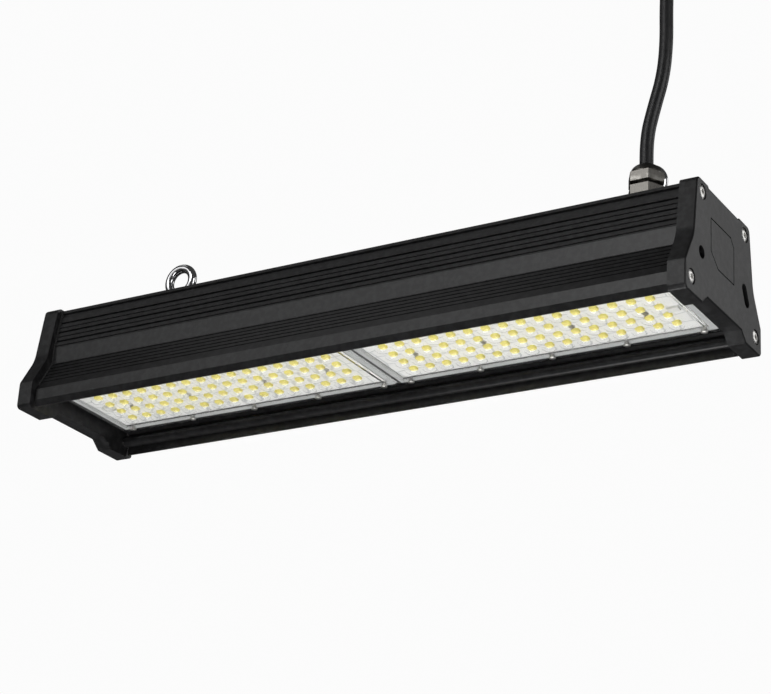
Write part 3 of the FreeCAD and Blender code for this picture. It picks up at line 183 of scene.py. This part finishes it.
# The part of each noise or edge value that is spread over 0 to 1.
SPECKLE_SPAN: Range = (0.32, 0.68)
DRIFT_SPAN: Range = (0.35, 0.65)
LINES_SPAN: Range = (0.3, 0.7)
EDGE_SPAN: Range = (0.505, 0.56)
RUBBED_SPAN: Range = (0.42, 0.62)
# Span of the painted groove shade: it runs backwards, so the mask grows in hollows.
GROOVE_SHADE_SPAN: Range = (0.505, 0.47)
# How each noise is made.
SPECKLE_NOISE = {"Detail": 3.0, "Roughness": 0.6}
DRIFT_NOISE = {"Detail": 2.0}
LINES_NOISE = {"Scale": 1.0, "Detail": 4.0, "Roughness": 0.65}
RUBBED_NOISE = {"Scale": 220.0, "Detail": 4.0}


def speckle_group() -> bpy.types.NodeTree:
    """Make the group for a fine, even speckle with a slow drift over it.

    Returns:
        The node group, with a Speckle and a Drift output between 0 and 1.
    """
    def build(nodes: Nodes, start: bpy.types.Node, end: bpy.types.Node) -> None:
        """Join the group's nodes.

        Args:
            nodes: the group's tree.
            start: the group's input node.
            end: the group's output node.
        """
        place = nodes.add("ShaderNodeTexCoord").outputs["Object"]
        fine = nodes.add("ShaderNodeTexNoise", {},
                         {"Vector": place, "Scale": start.outputs["Grain"], **SPECKLE_NOISE})
        slow = nodes.add("ShaderNodeTexNoise", {},
                         {"Vector": place, "Scale": start.outputs["Patch"], **DRIFT_NOISE})
        nodes.tree.links.new(nodes.ramp(fine.outputs[0], *SPECKLE_SPAN), end.inputs["Speckle"])
        nodes.tree.links.new(nodes.ramp(slow.outputs[0], *DRIFT_SPAN), end.inputs["Drift"])
    return new_group("speckle", {"Grain": ("NodeSocketFloat", 2500.0), "Patch": ("NodeSocketFloat", 12.0)},
                     {"Speckle": "NodeSocketFloat", "Drift": "NodeSocketFloat"}, build)


def drawn_lines_group() -> bpy.types.NodeTree:
    """Make the group for the fine lines that a die or a tool leaves along one axis.

    Returns:
        The node group, with a Lines output between 0 and 1.
    """
    def build(nodes: Nodes, start: bpy.types.Node, end: bpy.types.Node) -> None:
        """Join the group's nodes.

        Args:
            nodes: the group's tree.
            start: the group's input node.
            end: the group's output node.
        """
        place = nodes.add("ShaderNodeTexCoord").outputs["Object"]
        stretched = nodes.add("ShaderNodeVectorMath", {"operation": "MULTIPLY"},
                              {"0": place, "1": start.outputs["Stretch"]}).outputs[0]
        lines = nodes.add("ShaderNodeTexNoise", {}, {"Vector": stretched, **LINES_NOISE})
        nodes.tree.links.new(nodes.ramp(lines.outputs[0], *LINES_SPAN), end.inputs["Lines"])
    return new_group("drawn_lines", {"Stretch": ("NodeSocketVector", (3.0, 1500.0, 1500.0))},
                     {"Lines": "NodeSocketFloat"}, build)


def edge_wear_group() -> bpy.types.NodeTree:
    """Make the group for a mask of edges that hands and tools have rubbed.

    Returns:
        The node group, with a Wear output between 0 and 1.
    """
    def build(nodes: Nodes, start: bpy.types.Node, end: bpy.types.Node) -> None:
        """Join the group's nodes.

        Args:
            nodes: the group's tree.
            start: the group's input node.
            end: the group's output node.
        """
        point = nodes.add("ShaderNodeNewGeometry").outputs["Pointiness"]
        edge = nodes.ramp(point, *EDGE_SPAN)
        place = nodes.add("ShaderNodeTexCoord").outputs["Object"]
        patchy = nodes.add("ShaderNodeTexNoise", {}, {"Vector": place, **RUBBED_NOISE})
        broken = nodes.ramp(patchy.outputs[0], *RUBBED_SPAN)
        worn = nodes.math("MULTIPLY", edge, broken)
        nodes.tree.links.new(nodes.math("MULTIPLY", worn, start.outputs["Amount"]), end.inputs["Wear"])
    return new_group("edge_wear", {"Amount": ("NodeSocketFloat", 0.5)}, {"Wear": "NodeSocketFloat"}, build)


def groove_shade_group() -> bpy.types.NodeTree:
    """Make the group for a mask of grooves and inner corners, which get painted shade and a rougher finish.

    Returns:
        The node group, with one output between 0 and 1: the mask of the painted shade in grooves.
    """
    def build(nodes: Nodes, start: bpy.types.Node, end: bpy.types.Node) -> None:
        """Join the group's nodes.

        Args:
            nodes: the group's tree.
            start: the group's input node.
            end: the group's output node.
        """
        point = nodes.add("ShaderNodeNewGeometry").outputs["Pointiness"]
        deep = nodes.ramp(point, *GROOVE_SHADE_SPAN)
        nodes.tree.links.new(nodes.math("MULTIPLY", deep, start.outputs["Amount"]), end.inputs["GrooveShade"])
    return new_group("painted_groove_shade", {"Amount": ("NodeSocketFloat", 0.5)}, {"GrooveShade": "NodeSocketFloat"}, build)


# ---------------------------------------------------------------- finishes

SPECKLE_SHARE = 0.6                 # of the speckle, against the drift, in a finish's colour
LINES_RELIEF_SHARE = 0.6            # of the drawn lines, against the speckle, in its relief
LINES_COLOUR_SHARE = 0.5            # of the drawn lines in its colour
# Painted shade: the near-black colour laid into grooves and inner corners, where shade falls.
GROOVE_SHADE_COLOUR: Colour = (0.002, 0.002, 0.002)
WHITE: Colour = (1.0, 1.0, 1.0)


@dataclass(frozen=True)
class Finish:
    """A surface finish: its colours, its gloss and the grain that breaks them up.

    Attributes:
        name: the material's name.
        colour: colour where the grain is lowest.
        second: colour where the grain is highest.
        rough: roughness over the same range.
        metallic, specular, coat, coat_rough, sheen: the shader's own values.
        grain: how fine the speckle is.
        patch: how fine the slow drift is.
        bump: strength of the relief.
        depth: height of the relief, in millimetres.
        lines: stretch of the lines that a die or a tool leaves, if it leaves any.
        wear: how far edges are rubbed.
        worn: colour of a rubbed edge.
        groove_shade: how far grooves and inner corners get painted shade, darker in colour, and a rougher
            finish.
    """

    name: str
    colour: Colour
    second: Colour
    rough: Range
    metallic: float = 0.0
    specular: float = 0.5
    coat: float = 0.0
    coat_rough: float = 0.1
    grain: float = 2500.0
    patch: float = 12.0
    bump: float = 0.05
    depth: float = 0.02
    lines: tuple[float, float, float] | None = None
    wear: float = 0.0
    worn: Colour = (0.4, 0.4, 0.4)
    groove_shade: float = 0.0
    sheen: float = 0.0

    def material(self) -> bpy.types.Material:
        """Make the finish's material.

        Returns:
            The material, made once for each finish.
        """
        if self.name in bpy.data.materials:
            return bpy.data.materials[self.name]
        material = bpy.data.materials.new(self.name)
        material.use_nodes = True
        nodes = Nodes(material.node_tree)
        shader = material.node_tree.nodes["Principled BSDF"]
        for socket, value in (("Metallic", self.metallic), ("Specular IOR Level", self.specular),
                              ("Coat Weight", self.coat), ("Coat Roughness", self.coat_rough),
                              ("Sheen Weight", self.sheen)):
            shader.inputs[socket].default_value = value
        speckle = nodes.add("ShaderNodeGroup", {"node_tree": speckle_group()},
                            {"Grain": self.grain, "Patch": self.patch})
        height, drift = speckle.outputs["Speckle"], speckle.outputs["Drift"]
        mask = nodes.share(height, drift, SPECKLE_SHARE)
        if self.lines:
            drawn = nodes.add("ShaderNodeGroup", {"node_tree": drawn_lines_group()},
                              {"Stretch": self.lines}).outputs["Lines"]
            height = nodes.share(drawn, height, LINES_RELIEF_SHARE)
            mask = nodes.share(drawn, mask, LINES_COLOUR_SHARE)
        colour = nodes.blend(mask, self.colour, self.second)
        if self.wear:
            rubbed = nodes.add("ShaderNodeGroup", {"node_tree": edge_wear_group()},
                               {"Amount": self.wear}).outputs["Wear"]
            colour = nodes.blend(rubbed, colour, self.worn)
        gloss = nodes.ramp(mask, 0.0, 1.0, *self.rough)
        # Grooves and inner corners get painted shade: their colour darkens towards near black, and their
        # roughness rises.
        if self.groove_shade:
            shade_and_dull = nodes.add("ShaderNodeGroup", {"node_tree": groove_shade_group()},
                             {"Amount": self.groove_shade}).outputs["GrooveShade"]
            gloss = nodes.math("ADD", gloss, shade_and_dull)
            colour = nodes.blend(shade_and_dull, colour, GROOVE_SHADE_COLOUR)
        links = material.node_tree.links
        links.new(colour, shader.inputs["Base Color"])
        links.new(gloss, shader.inputs["Roughness"])
        relief = nodes.add("ShaderNodeBump", {}, {"Strength": self.bump, "Distance": self.depth * MM,
                                                  "Height": height})
        links.new(relief.outputs["Normal"], shader.inputs["Normal"])
        return material


@dataclass(frozen=True)
class ClearFinish:
    """A clear moulded plastic, with the slight ripple that moulding leaves. Lamps shine through it."""

    name: str = "clear_polycarbonate"
    tint: Colour = (0.99, 0.99, 0.985)
    index: float = 1.07
    coat: float = 1.0
    rough: Range = (0.0, 0.04)
    ripple: float = 260.0
    patch: float = 40.0
    bump: float = 0.35
    depth: float = 0.08

    def material(self) -> bpy.types.Material:
        """Make the clear material.

        Returns:
            The material, made once.
        """
        if self.name in bpy.data.materials:
            return bpy.data.materials[self.name]
        material = bpy.data.materials.new(self.name)
        material.use_nodes = True
        nodes = Nodes(material.node_tree)
        shader = material.node_tree.nodes["Principled BSDF"]
        for socket, value in (("Transmission Weight", 1.0), ("IOR", self.index), ("Metallic", 0.0),
                              ("Coat Weight", self.coat), ("Coat Roughness", self.rough[0])):
            shader.inputs[socket].default_value = value
        shader.inputs["Base Color"].default_value = (*self.tint, 1.0)
        speckle = nodes.add("ShaderNodeGroup", {"node_tree": speckle_group()},
                            {"Grain": self.ripple, "Patch": self.patch})
        links = material.node_tree.links
        links.new(nodes.ramp(speckle.outputs["Drift"], 0.0, 1.0, *self.rough), shader.inputs["Roughness"])
        relief = nodes.add("ShaderNodeBump", {}, {"Strength": self.bump, "Distance": self.depth * MM,
                                                  "Height": speckle.outputs["Speckle"]})
        links.new(relief.outputs["Normal"], shader.inputs["Normal"])
        lamps = nodes.add("ShaderNodeLightPath").outputs["Is Shadow Ray"]
        through = nodes.add("ShaderNodeBsdfTransparent", {}, {"Color": (*self.tint, 1.0)}).outputs[0]
        mixed = nodes.add("ShaderNodeMixShader", {}, {"0": lamps, "1": shader.outputs[0], "2": through})
        links.new(mixed.outputs[0], material.node_tree.nodes["Material Output"].inputs["Surface"])
        return material


@dataclass(frozen=True)
class BoardFinish:
    """White solder mask over copper: tracks stand a little proud and show as a paler tone."""

    name: str = "white_solder_mask"
    mask: Colour = (0.84, 0.84, 0.83)
    track: Colour = (0.92, 0.92, 0.91)
    shade: Colour = (0.60, 0.61, 0.61)
    rough: Range = (0.32, 0.45)
    track_width: float = 0.055
    track_scale: float = 70.0
    track_scatter: float = 0.35
    grain: float = 900.0
    patch: float = 30.0
    bump: float = 0.4
    depth: float = 0.05

    def material(self) -> bpy.types.Material:
        """Make the board's material.

        Returns:
            The material, made once.
        """
        if self.name in bpy.data.materials:
            return bpy.data.materials[self.name]
        material = bpy.data.materials.new(self.name)
        material.use_nodes = True
        nodes = Nodes(material.node_tree)
        shader = material.node_tree.nodes["Principled BSDF"]
        place = nodes.add("ShaderNodeTexCoord").outputs["Object"]
        cells = nodes.add("ShaderNodeTexVoronoi", {"feature": "DISTANCE_TO_EDGE", "distance": "EUCLIDEAN"},
                          {"Vector": place, "Scale": self.track_scale, "Randomness": self.track_scatter})
        gap = nodes.ramp(cells.outputs[0], self.track_width / 2, self.track_width)
        speckle = nodes.add("ShaderNodeGroup", {"node_tree": speckle_group()},
                            {"Grain": self.grain, "Patch": self.patch})
        ground = nodes.blend(speckle.outputs["Drift"], self.mask, self.track)
        colour = nodes.blend(gap, self.shade, ground)
        links = material.node_tree.links
        links.new(colour, shader.inputs["Base Color"])
        links.new(nodes.ramp(speckle.outputs["Speckle"], 0.0, 1.0, *self.rough), shader.inputs["Roughness"])
        relief = nodes.add("ShaderNodeBump", {}, {"Strength": self.bump, "Distance": self.depth * MM,
                                                  "Height": gap})
        links.new(relief.outputs["Normal"], shader.inputs["Normal"])
        return material


class Finishes:
    """Every finish of the light, by what it covers."""

    # The extrusion's grooves and inner corners carry painted shade, darkened in colour.
    extrusion = Finish("black_anodised_extrusion", (0.007, 0.007, 0.0073), (0.012, 0.012, 0.0125),
                       (0.30, 0.35), specular=0.4, grain=2200.0, patch=9.0, bump=0.12, depth=0.03,
                       lines=(2.0, 1700.0, 1700.0), wear=0.2, worn=(0.06, 0.06, 0.063), groove_shade=0.6)
    casting = Finish("black_powder_coat", (0.008, 0.008, 0.0083), (0.013, 0.013, 0.0135), (0.35, 0.40),
                     specular=0.4, grain=1500.0, patch=25.0, bump=0.22, depth=0.06, wear=0.3,
                     worn=(0.06, 0.06, 0.063))
    gasket = Finish("black_silicone", (0.010, 0.010, 0.010), (0.022, 0.022, 0.022), (0.6, 0.8),
                    grain=900.0, bump=0.25, depth=0.05, sheen=0.1)
    lens_gasket = Finish("white_silicone", (0.62, 0.63, 0.63), (0.76, 0.77, 0.77), (0.45, 0.6),
                         grain=900.0, patch=60.0, bump=0.2, depth=0.05)
    bright_screw = Finish("nickel_plate", (0.92, 0.91, 0.88), (0.97, 0.96, 0.94), (0.27, 0.36),
                          metallic=1.0, grain=1800.0, patch=120.0, bump=0.15, depth=0.02, wear=0.3,
                          worn=(0.95, 0.94, 0.92))
    small_screw = Finish("zinc_plate", (0.52, 0.51, 0.49), (0.66, 0.65, 0.62), (0.22, 0.38),
                         metallic=1.0, grain=2400.0, patch=160.0, bump=0.2, depth=0.02)
    eyebolt = Finish("polished_steel", (0.60, 0.59, 0.57), (0.72, 0.71, 0.69), (0.34, 0.46),
                     metallic=1.0, grain=1300.0, patch=70.0, bump=0.2, depth=0.03, wear=0.4,
                     worn=(0.85, 0.85, 0.86))
    gland = Finish("nickel_plated_brass", (0.13, 0.125, 0.115), (0.21, 0.20, 0.185), (0.24, 0.38),
                   metallic=1.0, grain=1500.0, patch=90.0, bump=0.18, depth=0.02,
                   lines=(1700.0, 1700.0, 6.0), wear=0.5, worn=(0.42, 0.41, 0.38))
    phosphor = Finish("yellow_phosphor", (0.93, 0.80, 0.17), (0.96, 0.88, 0.28), (0.40, 0.55),
                      grain=1600.0, patch=300.0, bump=0.2, depth=0.03)
    chip_body = Finish("white_chip_body", (0.84, 0.84, 0.82), (0.91, 0.91, 0.90), (0.35, 0.5),
                       grain=1800.0, patch=200.0, bump=0.1, depth=0.02)
    sheath = Finish("black_cable_sheath", (0.010, 0.010, 0.011), (0.020, 0.020, 0.021), (0.32, 0.48),
                    grain=700.0, patch=30.0, bump=0.25, depth=0.06, sheen=0.05)
    rose = Finish("black_moulded_plastic", (0.014, 0.014, 0.0145), (0.024, 0.024, 0.025), (0.38, 0.52),
                  grain=1600.0, patch=20.0, bump=0.25, depth=0.05)
    driver_case = Finish("folded_aluminium", (0.58, 0.59, 0.60), (0.68, 0.69, 0.70), (0.28, 0.42),
                         metallic=1.0, grain=2000.0, bump=0.15, depth=0.03, lines=(8.0, 1400.0, 1400.0))
    circuit_board = Finish("green_circuit_board", (0.03, 0.16, 0.07), (0.05, 0.24, 0.11), (0.3, 0.45),
                           grain=1400.0, patch=60.0, bump=0.2, depth=0.05, coat=0.3)
    ferrite = Finish("ferrite_and_tape", (0.045, 0.045, 0.047), (0.09, 0.09, 0.085), (0.5, 0.65),
                     grain=1100.0, patch=40.0, bump=0.4, depth=0.06)
    capacitor = Finish("capacitor_sleeve", (0.03, 0.045, 0.11), (0.05, 0.07, 0.16), (0.22, 0.34),
                       grain=900.0, patch=50.0, bump=0.1, depth=0.03, coat=0.3)
    nylon = Finish("white_nylon", (0.72, 0.72, 0.69), (0.80, 0.80, 0.77), (0.35, 0.5),
                   grain=1200.0, patch=50.0, bump=0.2, depth=0.04)
    wire = Finish("wire_insulation", (0.30, 0.11, 0.035), (0.38, 0.15, 0.05), (0.32, 0.45),
                  grain=900.0, patch=60.0, bump=0.1, depth=0.03)


class Slot(str, Enum):
    """Names of material slots for the chips and the cable; nothing in this script reads them."""

    CHIPS = "led_phosphor"
    CABLE = "cable_sheath"


def dress(obj: bpy.types.Object, *materials: bpy.types.Material) -> None:
    """Give an object its materials in order.

    Args:
        obj: a mesh or curve object.
        materials: one material for each slot.
    """
    obj.data.materials.clear()
    for material in materials:
        obj.data.materials.append(material)


def new_piece(name: str, mesh: bmesh.types.BMesh,
              materials: Sequence[bpy.types.Material]) -> bpy.types.Object:
    """Turn a mesh into a piece that rides on the light.

    Args:
        name: the piece's name.
        mesh: the finished mesh, in metres in the light's own frame. It is freed.
        materials: one material for each slot of the mesh.

    Returns:
        The new object.
    """
    data = bpy.data.meshes.new(name)
    for material in materials:
        data.materials.append(material)
    mesh.to_mesh(data)
    mesh.free()
    piece = bpy.data.objects.new(name, data)
    bpy.context.collection.objects.link(piece)
    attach(piece, BODY)
    log.info("%s: %d faces", name, len(data.polygons))
    return piece


def node(name: str) -> bpy.types.Object:
    """Return a CAD node by name."""
    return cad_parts[name]


def corners(name: str) -> tuple[Vector, Vector]:
    """Return a CAD node's lowest and highest corners."""
    low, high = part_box(name)
    return Vector(low), Vector(high)


# ---------------------------------------------------------------- body of the light

@dataclass
class HeatSinkBody:
    """The extrusion, its end caps, their gaskets and their screws."""

    sides: tuple[str, ...] = SIDES

    def build(self) -> None:
        """Dress the extrusion and everything screwed to its ends."""
        dress(node("heat_sink_housing"), Finishes.extrusion.material())
        for side in self.sides:
            dress(node(f"end_cap_{side}"), Finishes.casting.material())
            dress(node(f"end_cap_gasket_{side}"), Finishes.gasket.material())
            dress(node(f"end_cap_screws_{side}"), Finishes.bright_screw.material())
        log.info("heat sink body dressed")


@dataclass
class LedModule:
    """One LED board with its chips, lens plate, gasket and screws. Sizes are in millimetres."""

    side: str
    columns: int = 16
    rows: int = 4
    chip_size: float = 4.0
    body_corner: float = 0.35
    gel_size: float = 6.2
    gel_corner: float = 1.5
    gel_height: float = 2.2
    gel_shrink: float = 0.5
    gel_steps: int = 4
    corner_steps: int = 3

    def build(self) -> None:
        """Dress the module and put real chip packages in place of the plain blocks."""
        dress(node(f"led_board_{self.side}"), BoardFinish().material())
        dress(node(f"lens_plate_{self.side}"), ClearFinish().material())
        dress(node(f"lens_gasket_{self.side}"), Finishes.lens_gasket.material())
        for screws in ("lens_screws", "led_board_screws"):
            dress(node(f"{screws}_{self.side}"), Finishes.small_screw.material())
        self.chips()
        log.info("%s LED module dressed", self.side)

    def rounded_square(self, size: float, corner: float, height: float) -> list[Point]:
        """Lay out a square with rounded corners about the origin.

        Args:
            size: width across its flats.
            corner: radius of its corners.
            height: the height that every point is at.

        Returns:
            The points in order round the square, all in millimetres.
        """
        points: list[Point] = []
        for quarter in range(4):
            turn = quarter * math.pi / 2
            centre = Vector((size / 2 - corner, size / 2 - corner, 0.0))
            centre.rotate(Matrix.Rotation(turn, 3, "Z"))
            for step in range(self.corner_steps + 1):
                angle = turn + step / self.corner_steps * math.pi / 2
                points.append((centre.x + corner * math.cos(angle), centre.y + corner * math.sin(angle),
                               height))
        return points

    def gel_rings(self, board: float) -> list[list[Point]]:
        """Lay out the outlines of the phosphor gel that bulges over one chip.

        Args:
            board: height of the board's face over the chip's front face, in millimetres.

        Returns:
            The outlines from the board to the flat top of the gel.
        """
        rings = []
        for step in range(self.gel_steps + 1):
            turn = step / self.gel_steps * math.pi / 2
            inset = self.gel_shrink * (1.0 - math.cos(turn))
            height = board - self.gel_height * math.sin(turn)
            rings.append(self.rounded_square(self.gel_size - 2 * inset, self.gel_corner, height))
        return rings

    def chips(self) -> None:
        """Build the chip packages: a white frame under a pillow of phosphor gel."""
        low, high = corners(f"led_chips_{self.side}")
        size, thick = self.chip_size, (high.z - low.z) / MM
        pitch = Vector(((high.x - low.x - size * MM) / (self.columns - 1),
                        (high.y - low.y - size * MM) / (self.rows - 1), 0.0))
        frame_rings = [self.rounded_square(size, self.body_corner, thick),
                       self.rounded_square(size, self.body_corner, 0.0)]
        gel_rings = self.gel_rings(thick)
        mesh = bmesh.new()
        start = low + Vector((size / 2 * MM, size / 2 * MM, 0.0))
        for column in range(self.columns):
            for row in range(self.rows):
                place = start + Vector((pitch.x * column, pitch.y * row, 0.0))
                for slot, rings in enumerate((frame_rings, gel_rings)):
                    self.stack(mesh, rings, place, slot)
        piece = new_piece(f"led_packages_{self.side}", mesh,
                          [Finishes.chip_body.material(), Finishes.phosphor.material()])
        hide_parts(f"led_chips_{self.side}")

    def stack(self, mesh: bmesh.types.BMesh, rings: Sequence[Sequence[Point]], place: Vector,
              slot: int) -> None:
        """Add one closed solid through a stack of outlines.

        Args:
            mesh: the mesh that it is added to.
            rings: outlines from its back to its front, in millimetres.
            place: the middle of the chip's front face.
            slot: the material slot that it takes.
        """
        loops = [[mesh.verts.new(place + Vector(point) * MM) for point in ring] for ring in rings]
        faces = [mesh.faces.new(loops[0]), mesh.faces.new(loops[-1][::-1])]
        for one, other in zip(loops, loops[1:]):
            for here in range(len(one)):
                after = (here + 1) % len(one)
                faces.append(mesh.faces.new((one[after], one[here], other[here], other[after])))
        for face in faces:
            face.material_index = slot


@dataclass
class Eyebolts:
    """The two ring eyebolts with their nuts and washers."""

    nodes: tuple[str, ...] = ("eyebolt_left", "eyebolt_right", "eyebolt_lock_nuts", "eyebolt_washers")

    def build(self) -> None:
        """Dress the eyebolts."""
        for name in self.nodes:
            dress(node(name), Finishes.eyebolt.material())
        log.info("eyebolts dressed")


# ---------------------------------------------------------------- supply

@dataclass
class Supply:
    """The gland, the cable through it and the ceiling rose that the cable hangs from."""

    cable_length: float = 0.2176
    cable_diameter: float = 0.010
    resolution: int = 12
    section_steps: int = 8
    route: tuple[Point, ...] = (
        (0.2362, -0.0235, 0.080), (0.2362, -0.0235, 0.110), (0.2360, -0.0235, 0.143),
        (0.2414, -0.0235, 0.165), (0.2486, -0.0235, 0.190), (0.2509, -0.0235, 0.217),
        (0.2505, -0.0235, 0.246), (0.2513, -0.0235, 0.272), (0.2510, -0.0235, 0.296))
    rose: tuple[str, ...] = ("ceiling_rose_base", "ceiling_rose_cover", "ceiling_rose_cord_grip")

    def build(self) -> None:
        """Dress the gland and the rose and lay the cable between them."""
        for name in ("cable_gland_body", "cable_gland_cap_nut"):
            dress(node(name), Finishes.gland.material())
        for name in ("cable_gland_washer", "cable_gland_seal"):
            dress(node(name), Finishes.gasket.material())
        for name in self.rose:
            dress(node(name), Finishes.rose.material())
        self.cable()

    def cable(self) -> None:
        """Lay the cable as one smooth curve through its route."""
        curve = bpy.data.curves.new("supply_cable", "CURVE")
        curve.dimensions = "3D"
        curve.bevel_depth = self.cable_diameter / 2
        curve.bevel_resolution = self.section_steps
        curve.resolution_u = self.resolution
        curve.use_fill_caps = True
        line = curve.splines.new("NURBS")
        line.points.add(len(self.route) - 1)
        for point, place in zip(line.points, self.route):
            point.co = (*place, 1.0)
        line.order_u = 3
        line.use_endpoint_u = True
        piece = bpy.data.objects.new("supply_cable", curve)
        bpy.context.collection.objects.link(piece)
        dress(piece, Finishes.sheath.material())
        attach(piece, BODY)
        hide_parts("power_cable")
        log.info("cable laid over %d points", len(self.route))


@dataclass
class Driver:
    """The driver, the terminal block and the wires inside the heat sink's chamber."""

    def build(self) -> None:
        """Dress what the chamber holds."""
        finishes = {
            "driver_case": Finishes.driver_case, "driver_lid": Finishes.driver_case,
            "driver_circuit_board": Finishes.circuit_board, "driver_transformer": Finishes.ferrite,
            "driver_capacitors": Finishes.capacitor, "driver_screws": Finishes.small_screw,
            "terminal_block": Finishes.nylon, "board_connectors": Finishes.nylon,
            "supply_cores": Finishes.wire, "led_leads": Finishes.wire,
        }
        for name, finish in finishes.items():
            dress(node(name), finish.material())
        log.info("driver dressed")


# ---------------------------------------------------------------- studio

@dataclass(frozen=True)
class Softbox:
    """One rectangular studio light that faces the light fitting."""

    name: str
    place: Point
    size: tuple[float, float]
    power: float
    target: Point = (0.0, 0.0, 0.05)

    def build(self) -> None:
        """Set up the light."""
        lamp = bpy.data.lights.new(self.name, "AREA")
        lamp.shape = "RECTANGLE"
        lamp.size, lamp.size_y = self.size
        lamp.energy = self.power
        holder = bpy.data.objects.new(self.name, lamp)
        bpy.context.collection.objects.link(holder)
        holder.location = self.place
        aim = Vector(self.target) - Vector(self.place)
        holder.rotation_euler = aim.to_track_quat("-Z", "Y").to_euler()
        log.info("%s: %.0f W", self.name, self.power)


@dataclass
class Studio:
    """Pale floor, soft light and the camera."""

    floor_height: float = -2.6
    floor_size: float = 60.0
    floor_glow: float = 0.78
    floor_finish: Finish = Finish("pale_floor", (0.80, 0.80, 0.80), (0.84, 0.84, 0.84), (0.5, 0.6),
                                  grain=40.0, patch=1.0)
    backdrop: float = 0.97
    ambient: float = 0.05
    azimuth: float = 32.26
    elevation: float = -22.76
    roll: float = 3.48
    distance: float = 1.6218
    aim_offset: tuple[float, float] = (-0.0128, -0.0280)
    lens: float = 101.5
    sensor: float = 36.0
    clip: Range = (0.05, 100.0)
    softboxes: tuple[Softbox, ...] = (
        Softbox("front_left_softbox", (-1.1, -2.5, 1.3), (2.4, 0.8), 9.0),
        Softbox("front_softbox", (-0.5, -2.6, 1.5), (1.2, 0.8), 7.5),
        Softbox("low_front_softbox", (-1.2, -2.5, 0.4), (2.4, 0.5), 3.0),
        Softbox("top_softbox", (-1.3, -0.3, 2.4), (2.0, 0.8), 1.4),
        Softbox("under_softbox", (0.0, 0.3, -1.6), (1.2, 0.8), 12.0),
        Softbox("under_front_softbox", (0.5, -1.4, -1.2), (1.4, 0.8), 13.0),
        Softbox("side_softbox", (2.6, -0.6, 0.5), (1.4, 1.4), 14.0),
        Softbox("right_softbox", (2.2, 2.6, 1.4), (1.4, 1.4), 9.0),
    )

    def build(self) -> None:
        """Set up floor, light and camera."""
        self.floor()
        self.world()
        for softbox in self.softboxes:
            softbox.build()
        self.camera()
        bpy.context.scene.view_settings.view_transform = "Standard"

    def floor(self) -> None:
        """Lay the floor far below the hanging light: pale to look at, without throwing light up."""
        half = self.floor_size / 2
        data = bpy.data.meshes.new("floor")
        data.from_pydata([(-half, -half, self.floor_height), (half, -half, self.floor_height),
                          (half, half, self.floor_height), (-half, half, self.floor_height)],
                         [], [(0, 1, 2, 3)])
        floor = bpy.data.objects.new("floor", data)
        bpy.context.collection.objects.link(floor)
        material = self.floor_finish.material()
        shader = material.node_tree.nodes["Principled BSDF"]
        nodes = Nodes(material.node_tree)
        seen = nodes.add("ShaderNodeLightPath").outputs["Is Camera Ray"]
        glow = nodes.ramp(seen, 0.0, 1.0, 0.0, self.floor_glow)
        shader.inputs["Emission Color"].default_value = (*WHITE, 1.0)
        material.node_tree.links.new(glow, shader.inputs["Emission Strength"])
        dress(floor, material)

    def world(self) -> None:
        """Light the room: white to look at, dimmer as light so that black stays black."""
        world = bpy.data.worlds.new("studio")
        bpy.context.scene.world = world
        world.use_nodes = True
        nodes = Nodes(world.node_tree)
        background = world.node_tree.nodes["Background"]
        seen = nodes.add("ShaderNodeLightPath").outputs["Is Camera Ray"]
        strength = nodes.ramp(seen, 0.0, 1.0, self.ambient, self.backdrop)
        world.node_tree.links.new(strength, background.inputs["Strength"])
        background.inputs["Color"].default_value = (*WHITE, 1.0)

    def camera(self) -> None:
        """Stand the camera below and to the right of the light, looking up along it."""
        side, rise = math.radians(self.azimuth), math.radians(self.elevation)
        back = Vector((math.sin(side) * math.cos(rise), -math.cos(side) * math.cos(rise), math.sin(rise)))
        right = Vector((math.cos(side), math.sin(side), 0.0))
        up = back.cross(right)
        tilt = math.radians(self.roll)
        right, up = (right * math.cos(tilt) + up * math.sin(tilt),
                     up * math.cos(tilt) - right * math.sin(tilt))
        data = bpy.data.cameras.new("camera")
        data.lens = self.lens
        data.sensor_width = self.sensor
        data.clip_start, data.clip_end = self.clip
        camera = bpy.data.objects.new("camera", data)
        bpy.context.collection.objects.link(camera)
        across, along = self.aim_offset
        place = back * self.distance - right * across - up * along
        camera.matrix_world = Matrix((
            (right.x, up.x, back.x, place.x), (right.y, up.y, back.y, place.y),
            (right.z, up.z, back.z, place.z), (0.0, 0.0, 0.0, 1.0)))
        bpy.context.scene.camera = camera


def main() -> None:
    """Dress the light piece by piece and set up the studio round it."""
    logging.basicConfig(level=logging.INFO, format="%(message)s")
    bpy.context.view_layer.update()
    HeatSinkBody().build()
    for side in SIDES:
        LedModule(side).build()
    Eyebolts().build()
    Supply().build()
    Driver().build()
    Studio().build()


if __name__ == "__main__":
    main()
